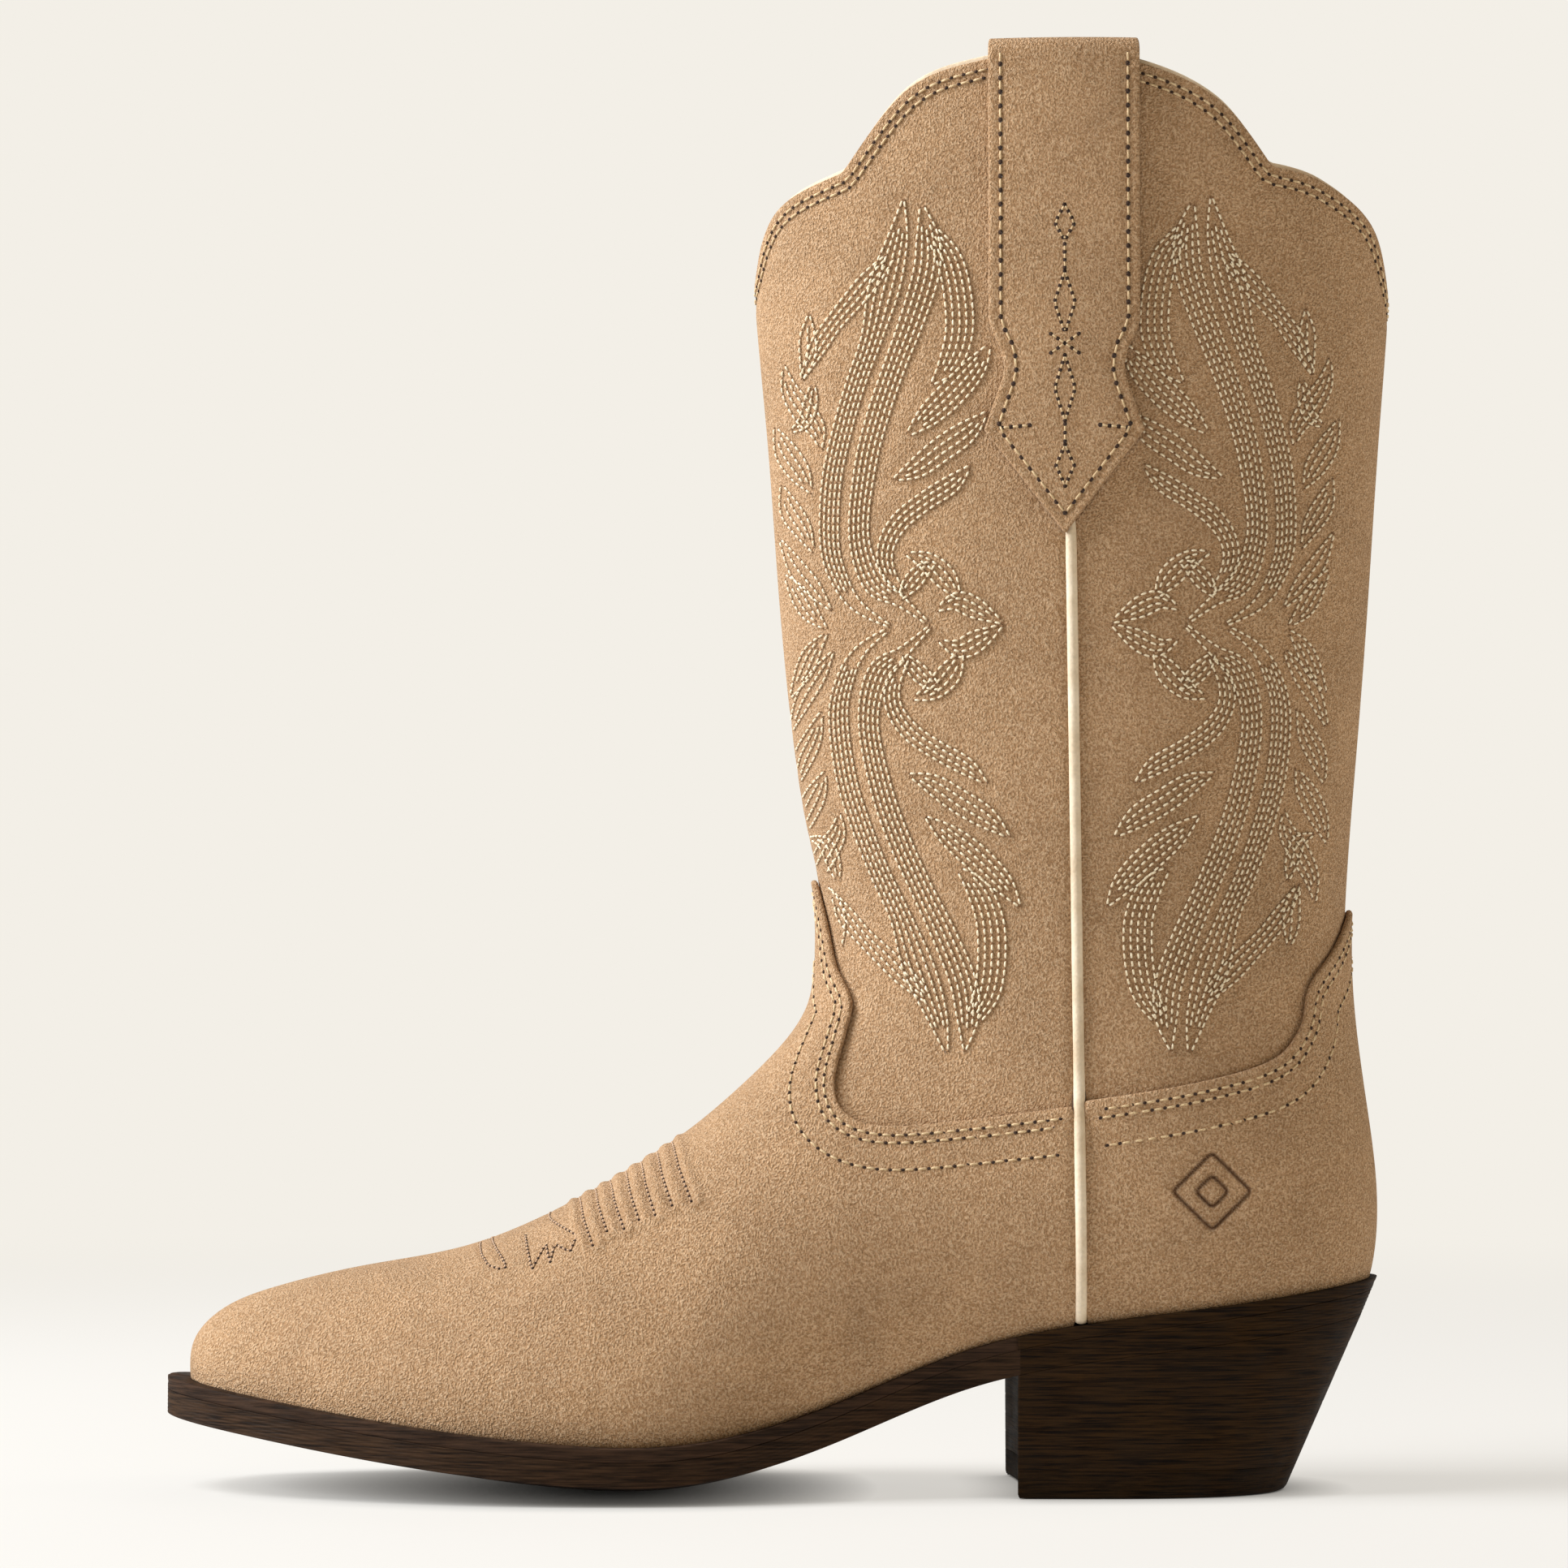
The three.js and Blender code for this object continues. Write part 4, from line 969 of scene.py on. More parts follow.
def shaft_outline(end, lower_edge, shift, depth, rise=0.0):
    """The front or back of the shaft: up both seams, along the top, and back under the covers."""
    limit = seam_x(lower_edge[-1 if end == FRONT else 0][1]) + end * shift
    bottom = side_path(cut_line(lower_edge, end, limit), -depth)[::-end]
    top = topline(end, rise)
    seam_angle = abs(seam_path(CREST_Z - 1, CREST_Z, end * shift, -depth)[-1, 1])
    top = top[end * (np.abs(top[:, 1]) - seam_angle) > 0]
    low_z = np.interp(limit, *np.array(lower_edge).T)
    half = [bottom, seam_path(low_z, CREST_Z - 0.5, end * shift, -depth), top]
    return joined_path(*half, *[mirrored(path, end == BACK) for path in half[::-1]])


def vamp_edge_path():
    """The vamp's upper edge on the outer side, from the seam to the tip of the tongue."""
    path = side_path(smooth_curve(VAMP_EDGE))
    tip_u, _ = section_through(np.array([9.2]), np.array([VAMP_TIP_Z]))
    return np.vstack([path, flat(tip_u, np.zeros(1))])


def counter_edge_path():
    """The counter cover's upper edge on the outer side, from the seam to the back line."""
    return side_path(smooth_curve(COUNTER_EDGE))


def forefoot_outline(shift, seam_top, edge, spacing, joined):
    """The outline of a layer round the forefoot, and which of its edges meet under the toe.

    The meeting edges are the first few, from the toe back along the under line, and the last.
    """
    toe = np.array([knot_of(0), math.pi * ANGLE_SCALE])
    under_toe = np.linspace(toe, flat(FEATHER_START_U, math.pi), joined + 1)
    feather = feather_between(-200, seam_x(COVER_SEAM_Z) - shift)
    seam = seam_path(COVER_SEAM_Z + 1, seam_top, -shift, 0.0)
    half = joined_path(under_toe, feather, seam, edge, spacing=spacing)
    outline = np.vstack([half, mirrored(half)[1:]])
    across_toe = np.linspace(outline[-1], outline[0], 30 * joined)[1:-1]
    closed = np.zeros(len(outline) + len(across_toe), bool)
    closed[:joined] = True
    closed[len(outline) - joined - 1:] = True
    return np.vstack([outline, across_toe]), closed


def hindfoot_outline(shift, seam_top, seam_depth, edge, spacing):
    """The outline of a layer round the heel, from one side seam to the other."""
    feather = feather_between(seam_x(COVER_SEAM_Z) + shift, 300)
    feather = np.vstack([feather, flat(FEATHER_END_U, math.pi)])
    seam = seam_path(COVER_SEAM_Z + 2, seam_top, shift, -seam_depth)
    outer = [feather[::-1], seam, edge]
    return joined_path(*outer, *[mirrored(path, True) for path in outer[::-1]], spacing=spacing)


def build_upper(vamp_look, counter_look, shaft_look):
    """The suede outer layer; each look holds the relief, extra points, and pressed places with painted shade
    of a sheet.
    """
    half_seam = SEAM_WIDTH / 2
    cover = (0.0, COVER_THICKNESS)
    panel = (PANEL_DEPTH, PANEL_THICKNESS)
    vamp, closed = forefoot_outline(half_seam, 88.5, vamp_edge_path(), 1.0, 3)
    counter = hindfoot_outline(half_seam, 90.5, 0.0, counter_edge_path(), 1.0)
    front = shaft_outline(FRONT, FRONT_PANEL_EDGE, half_seam, PANEL_DEPTH)
    back = shaft_outline(BACK, BACK_PANEL_EDGE, half_seam, PANEL_DEPTH)
    for name, node, outline, layer, look in (
        ("vamp_suede", "vamp", vamp, cover, {**vamp_look, "closed_edges": closed}),
        ("counter_suede", "counter_cover", counter, cover, counter_look),
        ("front_shaft_suede", "front_shaft_panel", front, panel, shaft_look),
        ("back_shaft_suede", "back_shaft_panel", back, panel, shaft_look),
    ):
        leather_sheet(name, outline, *layer, SHEET_SPACING, SUEDE, "suede", [node], **look)


LINING_RISE = 1.4  # how far the linings stand above the suede's top edge


LINING_SEAM_Z = 92


def lining_edge(end, points):
    """The foot linings' upper edge on the outer side, just under the shaft lining's lower edge."""
    line = cut_line(points, end, seam_x(LINING_SEAM_Z) + end * GAP)
    return side_path(line - [0, GAP], -PANEL_DEPTH)[::end]


def build_linings():
    front = shaft_outline(FRONT, FRONT_LINING_EDGE, GAP, PANEL_DEPTH, LINING_RISE)
    back = shaft_outline(BACK, BACK_LINING_EDGE, GAP, PANEL_DEPTH, LINING_RISE)
    seam_top = LINING_SEAM_Z - 1
    heel = hindfoot_outline(GAP, seam_top, PANEL_DEPTH, lining_edge(BACK, BACK_LINING_EDGE), 2.0)
    vamp, closed = forefoot_outline(GAP, seam_top, lining_edge(FRONT, FRONT_LINING_EDGE), 2.0, 2)
    for name, node, outline, closed_edges in (
        ("front_lining", "shaft_lining_front", front, None),
        ("back_lining", "shaft_lining_back", back, None),
        ("heel_lining", "counter_lining", heel, None),
        ("vamp_lining_leather", "vamp_lining", vamp, closed),
    ):
        leather_sheet(name, outline, LINING_DEPTH, LINING_THICKNESS, LINING_SPACING, LINING,
                      "lining_leather", [node], closed_edges=closed_edges)


# ---------------------------------------------------------------- piping and pull straps

PIPING_PROUD = 1.0  # how far the cord stands above the covers
PIPING_SUNK = 0.2  # how far it goes below the shaft panels under the strap
PIPING_REACH = 30  # how far it runs up behind the strap
FLANGE_SHARE = 1.35  # half width of the flange, in cord radii
FLANGE_DEPTH_SHARE = 0.7
FLANGE_START = -0.35  # cosine of the turn where the cord ends and the flange begins
# the cord's faces below this turn carry painted shade, darker than the piping leather
PAINTED_SHADE_START = 0.1  # cosine of the turn below which the cord lies in the seam's shade
PIPING_STEP_Z = (86.0, 96.0)  # where the piping steps down from the covers to the shaft panels


PIPING_SIDES = 16


def piping_profile():
    """Round the piping's section as (across, out): a round top on a wider, flatter flange."""
    profile = []
    for turn in np.arange(PIPING_SIDES) * 2 * math.pi / PIPING_SIDES:
        wide = FLANGE_SHARE if math.cos(turn) < FLANGE_START else 1.0
        height = max(math.cos(turn), -FLANGE_DEPTH_SHARE)
        profile.append((PIPING_RADIUS * wide * math.sin(turn), PIPING_RADIUS * height))
    return profile


def build_piping(side, name, node):
    """The round cord of leather that fills one side seam, with a flange sewn under the panels."""
    z = np.arange(COVER_SEAM_Z + 0.5, STRAP_TIP_Z + PIPING_REACH, 1.0)
    u, angle, _ = from_side(np.stack([seam_x(z), z], 1))
    low, high = PIPING_STEP_Z
    step = smooth_step((z - low) / (high - low))
    under_strap = np.clip((z - STRAP_TIP_Z) / 6, 0, 1)
    top = PIPING_PROUD - PANEL_DEPTH * step - (PIPING_PROUD + PIPING_SUNK) * under_strap
    centre, normal = skin(u, angle * side, top - PIPING_RADIUS)
    for _ in range(12):
        centre[1:-1] = (centre[:-2] + 2 * centre[1:-1] + centre[2:]) / 4
    across = unit(np.cross(unit(np.gradient(centre, axis=0)), normal))
    rings = np.stack([centre + across * a + normal * b for a, b in piping_profile()], 1)
    vertices, faces = tube(rings)
    # painted shade: the cord's lower faces are dark brown where the seam's shade falls beside the piping
    middles = (np.arange(PIPING_SIDES) + 0.5) * 2 * math.pi / PIPING_SIDES
    in_painted_shade = (np.cos(middles) < PAINTED_SHADE_START).astype(int).tolist() * (len(z) - 1) + [0, 0]
    looks = [PIPING, PAINTED_SEAM_SHADE]
    tidy_mesh(make_piece(name, vertices, faces, looks, "piping_leather", [node], in_painted_shade))


STRAP_POINTS = [  # height and half width, as a share of the full one
    [STRAP_TIP_Z, 0.0],
    [247.0, 1.06],
    [259.0, 0.82],
    [262.0, 0.79],
    [266.0, 0.84],
    [269.0, 0.93],
    [272.5, 1.0],
    [345.0, 1.0],
]
STRAP_OUTER_OFFSET = STRAP_THICKNESS / 2 - PANEL_DEPTH + GAP
STRAP_INNER_OFFSET = -LINING_DEPTH - LINING_THICKNESS - GAP - STRAP_THICKNESS / 2
STRAP_STEP = 1.6
STRAP_STRAIGHT_Z = 275  # above this the strap has its full width
STRAP_BEND = (STRAP_OUTER_OFFSET - STRAP_INNER_OFFSET) / 2


def strap_half_width(z):
    points = np.array(STRAP_POINTS)
    return np.interp(z, points[:, 0], points[:, 1]) * STRAP_HALF_WIDTH


def strap_course():
    """The strap's middle line as (height, offset from the form), from the tip over the top and down."""
    spring_z = STRAP_TOP_Z - STRAP_THICKNESS / 2 - STRAP_BEND
    low = STRAP_TIP_Z + 0.4
    shaped = np.arange(low, STRAP_STRAIGHT_Z, STRAP_STEP / 2)
    up = np.concatenate([shaped, np.arange(STRAP_STRAIGHT_Z, spring_z, STRAP_STEP)])
    outer = np.stack([up, np.full_like(up, STRAP_OUTER_OFFSET)], 1)
    turn = np.linspace(0, math.pi, 14)
    middle = (STRAP_OUTER_OFFSET + STRAP_INNER_OFFSET) / 2
    arch = np.stack([spring_z + STRAP_BEND * np.sin(turn), middle + STRAP_BEND * np.cos(turn)], 1)
    down = np.arange(spring_z - STRAP_STEP, STRAP_INNER_END_Z, -STRAP_STEP)
    inner = np.stack([down, np.full_like(down, STRAP_INNER_OFFSET)], 1)
    return np.vstack([outer, arch, inner])


def strap_section(half_width):
    """One cross-section of the strap as (across, thickness) points, with rounded sides."""
    half = STRAP_THICKNESS / 2
    round_off = min(half * 0.5, half_width * 0.5)
    flat_half = half_width - round_off
    face = np.linspace(-1, 1, 37) * flat_half
    side = np.linspace(math.pi / 2, -math.pi / 2, 7)[1:-1]
    top = [(a, half) for a in face]
    right = [(flat_half + round_off * math.cos(t), half * math.sin(t)) for t in side]
    bottom = [(a, -half) for a in face[::-1]]
    left = [(-flat_half - round_off * math.cos(t), half * math.sin(t)) for t in side[::-1]]
    return np.array(top + right + bottom + left)


STRAP_ROW_INSET = 2.9
STRAP_ROW_SINK = 0.28
STRAP_ROW_WIDTH = 0.9
# how dark the painted shade on the lower half of the strap's cut edges is
STRAP_EDGE_SHADE = 0.75


def strap_relief(across, half_width):
    """How the strap's face dips along its stitched edge."""
    edge = np.abs(np.abs(across) - (half_width - STRAP_ROW_INSET))
    return -STRAP_ROW_SINK * np.exp(-((edge / STRAP_ROW_WIDTH) ** 2))


def build_strap(side, name, node):
    course = strap_course()
    loops = []
    for place, normal in zip(course, left_of(course)):
        half_width = max(float(strap_half_width(place[0])), 0.5)
        if normal[1] < 0.5:
            half_width = STRAP_HALF_WIDTH
        across, rise = strap_section(half_width).T
        if place[1] == STRAP_OUTER_OFFSET:
            on_face = rise == STRAP_THICKNESS / 2
            rise = rise + np.where(on_face, strap_relief(across, half_width), 0)
        heights = place[0] + normal[0] * rise
        u, angle, _ = from_side(np.stack([STRAP_CENTRE_X + across, heights], 1))
        loops.append(skin(u, angle * side, place[1] + normal[1] * rise)[0])
    vertices, faces = tube(np.array(loops))
    piece = make_piece(name, vertices, faces, [SUEDE], "suede", [node])
    # painted shade: the lower half of the strap's cut edges is darkened where it meets the shaft
    across, rise = strap_section(STRAP_HALF_WIDTH).T
    cut = np.abs(across) > STRAP_HALF_WIDTH - STRAP_THICKNESS / 4
    depth = np.where(cut, 0.5 - rise / STRAP_THICKNESS, 0)
    paint_press_and_shade(piece, np.tile(depth * STRAP_EDGE_SHADE, len(loops)))
    tidy_mesh(piece)


# ---------------------------------------------------------------- sole and heel


def feather_loop(margin, spacing=1.2):
    """A closed plan outline grown out from the feather line by margin(x)."""
    loop = np.vstack([FEATHER_OUTER[:, :2], FEATHER_INNER[-2:0:-1, :2]])
    loop = evenly(np.vstack([loop, loop[:1]]), spacing)[:-1]
    loop = softened(loop, 6)
    outward = outward_in_flat(loop)
    for _ in range(8):
        outward = unit(softened(outward))
    return loop, outward, loop + outward * margin(loop[:, 0])[:, None]


def crown_share(points):
    x, y = points[:, 0], points[:, 1]
    low = np.interp(x, FEATHER_OUTER[:, 0], FEATHER_OUTER[:, 1])
    high = np.interp(x, FEATHER_OUTER[:, 0], FEATHER_INNER[:, 1])
    half = np.maximum((high - low) / 2, 1)
    across = (y - (high + low) / 2) / half
    return np.maximum(crown_shape(x), 0) * np.maximum(1 - across**2, 0)


def full_crown():
    x = np.arange(-90, 20, 0.5)
    return float(np.min((feather_height(x) + OUTSOLE_BOTTOM) / crown_shape(x)))


CROWN = full_crown()


def level(points, height):
    """The surface at a height above the feather line, with the crown of the bottom."""
    return feather_height(points[:, 0]) + height - CROWN * crown_share(points)


def leaned_x(x, height, reach=1.0):
    """x positions at a height of the sole: behind the breast, the edge comes forward on its way down."""
    share = np.clip((x - HEEL_BREAST_X) / (SEAT_X + SEAT_MARGIN - HEEL_BREAST_X), 0, 1)
    return x - HEEL_LEAN * max(WELT_TOP - height, 0) * share * reach


def plate_placer(points, outward, step):
    """Places plan points at a (outset, height) step of a sole plate."""
    outset, height = step
    moved = points + outward * outset
    heights = level(moved, height)
    return np.column_stack([leaned_x(moved[:, 0], height), moved[:, 1], heights])


PLATE_SPACING = 3.0


def build_plate(name, outline, placer, steps, material, slot_name, replaced):
    vertices, faces = layered_mesh(outline, PLATE_SPACING, placer, steps)
    return tidy_mesh(make_piece(name, vertices, faces, [material], slot_name, replaced))


def grooved_edge(top, bottom, grooves, depth, rounding):
    """(outset, height) steps down a sole edge: rounded corners, with level grooves between."""
    steps = [(-rounding, top), (-rounding * 0.3, top - rounding * 0.3), (0, top - rounding)]
    low, high = bottom + rounding, top - rounding
    for i in range(grooves):
        middle = high + (low - high) * (i + 0.5) / grooves
        half = (high - low) / grooves / 4
        steps += [(0, middle + half), (-depth, middle), (0, middle - half)]
    steps += [(0, low), (-rounding * 0.3, bottom + rounding * 0.3), (-rounding, bottom)]
    return steps


def crossing(loop, outward, outside, within, limit):
    """The place and outward direction where a loop passes an x limit between two of its points."""
    share = (limit - loop[outside, 0]) / (loop[within, 0] - loop[outside, 0])
    place = loop[outside] + (loop[within] - loop[outside]) * share
    return place, unit(outward[outside] + (outward[within] - outward[outside]) * share)


def ring_piece(name, side, profile, material, slot_name, replaced):
    """A strip along the sole's edge, behind the heel's breast (side 1) or before it (side -1).

    Profile points are (share of the way out, outset, height).
    """
    loop, outward, _ = feather_loop(sole_margin)
    start = int(np.argmin(side * loop[:, 0]))
    loop, outward = np.roll(loop, -start, axis=0), np.roll(outward, -start, axis=0)
    limit = HEEL_BREAST_X + side * JOINT
    first, last = np.flatnonzero(side * (loop[:, 0] - limit) > 0)[[0, -1]]
    head = crossing(loop, outward, first - 1, first, limit)
    tail = crossing(loop, outward, last + 1, last, limit)
    loop = np.vstack([head[0], loop[first:last + 1], tail[0]])
    outward = np.vstack([head[1], outward[first:last + 1], tail[1]])
    margin = sole_margin(loop[:, 0])
    lines = []
    for share, outset, height in profile:
        reach = -WELT_LAP + (margin + WELT_LAP) * share + outset
        places = loop + outward * reach[:, None]
        x = leaned_x(places[:, 0], height, share)
        lines.append(np.column_stack([x, places[:, 1], level(places, height)]))
    vertices, faces = tube(np.stack(lines, 1))
    return tidy_mesh(make_piece(name, vertices, faces, [material], slot_name, replaced))


SOLE_GROOVES = 6
GROOVE_DEPTH = 0.1


def welt_profile():
    """Round the welt's section: top face, rounded edge and bottom face."""
    edge = grooved_edge(WELT_TOP, WELT_BOTTOM, 1, GROOVE_DEPTH, 0.2)
    top = [(0, 0, WELT_TOP), (0.45, 0, WELT_TOP + 0.05), (0.8, 0, WELT_TOP)]
    return top + [(1, outset, height) for outset, height in edge] + [(0, 0, WELT_BOTTOM)]


BREAST_X_M = float(to_row(np.array([[HEEL_BREAST_X, 0.0, 0.0]]))[0, 0])


def build_soles():
    ring_piece("welt_strip", -1, welt_profile(), WELT, "welt_leather", ["welt"])
    ring_piece("heel_rand_strip", 1, welt_profile(), HEEL, "welt_leather", ["heel_rand"])
    _, _, outline = feather_loop(sole_margin)
    steps = grooved_edge(WELT_BOTTOM - JOINT, OUTSOLE_BOTTOM, SOLE_GROOVES, GROOVE_DEPTH, 0.16)
    outsole = build_plate("outsole_leather", outline, plate_placer, steps, SOLE, "sole_leather", ["outsole"])
    outsole.data.materials.append(HEEL)
    for face in outsole.data.polygons:
        face.material_index = int(face.center.x > BREAST_X_M)
    _, _, bed = feather_loop(lambda x: np.full_like(x, -FOOTBED_INSET), 2.0)
    steps = [(-0.8, FOOTBED_TOP), (0, FOOTBED_TOP - 1)]
    steps += [(0, FOOTBED_BOTTOM + 0.5), (-0.4, FOOTBED_BOTTOM)]
    build_plate("footbed_sock", bed, plate_placer, steps, LINING, "lining_leather", ["footbed"])


HEEL_LAYERS = 5


def heel_outline():
    """The heel's top outline in plan: the sole's edge behind the breast, and the hollow breast."""
    _, _, outline = feather_loop(sole_margin)
    start = int(np.argmin(outline[:, 0]))
    outline = np.roll(outline, -start, axis=0)
    back = outline[outline[:, 0] > HEEL_BREAST_X + 0.3]
    half = abs(back[0, 1])
    y = np.linspace(back[-1, 1], back[0, 1], 40)
    hollow = BREAST_HOLLOW * (1 - (y / half) ** 2).clip(0)
    breast = np.stack([HEEL_BREAST_X + hollow, y], 1)
    return np.vstack([back, breast])


def heel_placer(points, outward, step):
    """Places the heel's plan points at a step: (outset, share of the way up, (low, high) ends)."""
    outset, height_share, (low, high) = step
    points = points + outward * outset
    top = level(points, OUTSOLE_BOTTOM - JOINT)
    high_x = leaned_x(points[:, 0], OUTSOLE_BOTTOM)
    low_x = HEEL_BREAST_X + (high_x - HEEL_BREAST_X) * HEEL_TAPER
    height = low + height_share * ((top if high is None else high) - low) + np.zeros(len(points))
    share = height / top
    x = low_x + (high_x - low_x) * share
    y = points[:, 1] * (HEEL_BOTTOM_WIDTH + (1 - HEEL_BOTTOM_WIDTH) * share)
    return np.column_stack([x, y, height])


SEAT_X = float(FEATHER_OUTER[-1, 0])
HEEL_TOP_BACK_X = float(leaned_x(SEAT_X + SEAT_MARGIN, OUTSOLE_BOTTOM))
HEEL_TAPER = (HEEL_BOTTOM_BACK_X - HEEL_BREAST_X) / (HEEL_TOP_BACK_X - HEEL_BREAST_X)


HEEL_GROOVE = 0.06  # depth of the joints between the heel's layers
HEEL_GROOVE_SHARE = 0.015  # half the width of a joint, as a share of the stack's height


def build_heel():
    """The stacked leather, whose top follows the sole, and the rubber lift under it."""
    outline = heel_outline()
    ends = (HEEL_CAP_THICKNESS + GAP, None)
    steps = [(-0.08, 1.0, ends), (0, 0.995, ends)]
    for layer in range(1, HEEL_LAYERS):
        joint = 1 - layer / HEEL_LAYERS
        steps.append((0, joint + HEEL_GROOVE_SHARE, ends))
        steps.append((-HEEL_GROOVE, joint, ends))
        steps.append((0, joint - HEEL_GROOVE_SHARE, ends))
    steps += [(0, 0.004, ends), (-HEEL_GROOVE, 0.0, ends)]
    build_plate("heel_stack_leather", outline, heel_placer, steps, HEEL, "heel_leather", ["heel_block"])
    ends = (0.0, HEEL_CAP_THICKNESS + GAP - JOINT)
    edge = [(-0.08, 1.0), (0, 0.985), (0, 0.16), (-0.3, 0.05), (-1.0, 0.0)]
    steps = [(*step, ends) for step in edge]
    build_plate("heel_lift_rubber", outline, heel_placer, steps, RUBBER, "heel_rubber", ["heel_cap"])


# ---------------------------------------------------------------- stitching

THREAD_SIDES = 5
# Rings of one stitch: share of its length, thickness, and lift, both in thread radii
THREAD_RINGS = [(0.14, 0.5, -0.8), (0.3, 1.0, 0.4), (0.7, 1.0, 0.4), (0.86, 0.5, -0.8)]
HOLE_SIDES = 6


def sew(rows, pitch, outward, side=OUTER, staggered=False):
    """Needle places along flat pattern rows, as (places, normals) for each row."""
    sewn = []
    for index, row in enumerate(rows):
        if len(row) < 3:
            continue
        solid, _ = skin(*unflat(row), np.full(len(row), float(outward)))
        reach = lengths_along(solid)
        count = int(round(reach[-1] / pitch))
        if count < 1:
            continue
        at = np.linspace(0, reach[-1], count + 1)
        if staggered and index % 2 and count > 1:
            at = (at[1:] + at[:-1]) / 2
        u, angle = unflat(np.stack([np.interp(at, reach, row[:, 0]), np.interp(at, reach, row[:, 1])], 1))
        sewn.append(skin(u, angle * side, np.full(len(at), float(outward))))
    return sewn


def thread_arrays(sewn, radius):
    """Vertices and faces of every stitch in the rows."""
    start = np.concatenate([places[:-1] for places, _ in sewn])
    end = np.concatenate([places[1:] for places, _ in sewn])
    up = unit(np.concatenate([normals[:-1] + normals[1:] for _, normals in sewn]))
    across = unit(np.cross(end - start, up))
    turns = np.linspace(0, 2 * math.pi, THREAD_SIDES + 1)[:-1] + math.pi / 2
    layers = []
    for share, thickness, lift in THREAD_RINGS:
        centre = start + (end - start) * share + up * (lift * radius)
        for turn in turns:
            sideways = across * (math.cos(turn) * thickness * radius)
            layers.append(centre + sideways + up * (math.sin(turn) * thickness * radius))
    pattern = []
    for ring in range(len(THREAD_RINGS) - 1):
        for k in range(THREAD_SIDES):
            j = (k + 1) % THREAD_SIDES
            base = ring * THREAD_SIDES
            pattern.append([base + k, base + k + THREAD_SIDES, base + j + THREAD_SIDES, base + j])
    pattern.append(list(range(THREAD_SIDES)))
    pattern.append([len(layers) - 1 - k for k in range(THREAD_SIDES)])
    return copies(layers, pattern)


def hole_arrays(sewn, radius):
    """A small plug at each needle place, flat on top and pointed underneath, which carries the hole's
    painted shade.
    """
    places = np.concatenate([p for p, _ in sewn])
    normals = np.concatenate([n for _, n in sewn])
    ahead = unit(np.concatenate([np.gradient(p, axis=0) for p, _ in sewn]))
    across = unit(np.cross(ahead, normals))
    ahead = np.cross(normals, across)
    layers = []
    for turn in np.linspace(0, 2 * math.pi, HOLE_SIDES + 1)[:-1]:
        rim = ahead * (1.15 * radius * math.cos(turn)) + across * (radius * math.sin(turn))
        layers.append(places + rim + normals * 0.05)
    layers.append(places - normals * radius)
    pattern = [list(range(HOLE_SIDES))]
    for k in range(HOLE_SIDES):
        pattern.append([(k + 1) % HOLE_SIDES, k, HOLE_SIDES])
    return copies(layers, pattern)


def stitching(name, sewn, thread, thread_radius, hole_radius, hole_shade):
    """One piece with all the stitches and needle holes of some rows."""
    threads, thread_faces = thread_arrays(sewn, thread_radius)
    holes, hole_faces = hole_arrays(sewn, hole_radius)
    faces = thread_faces + [[v + len(threads) for v in face] for face in hole_faces]
    indices = [0] * len(thread_faces) + [1] * len(hole_faces)
    vertices = np.vstack([threads, holes])
    return tidy_mesh(make_piece(name, vertices, faces, [thread, hole_shade], "suede", (), indices))


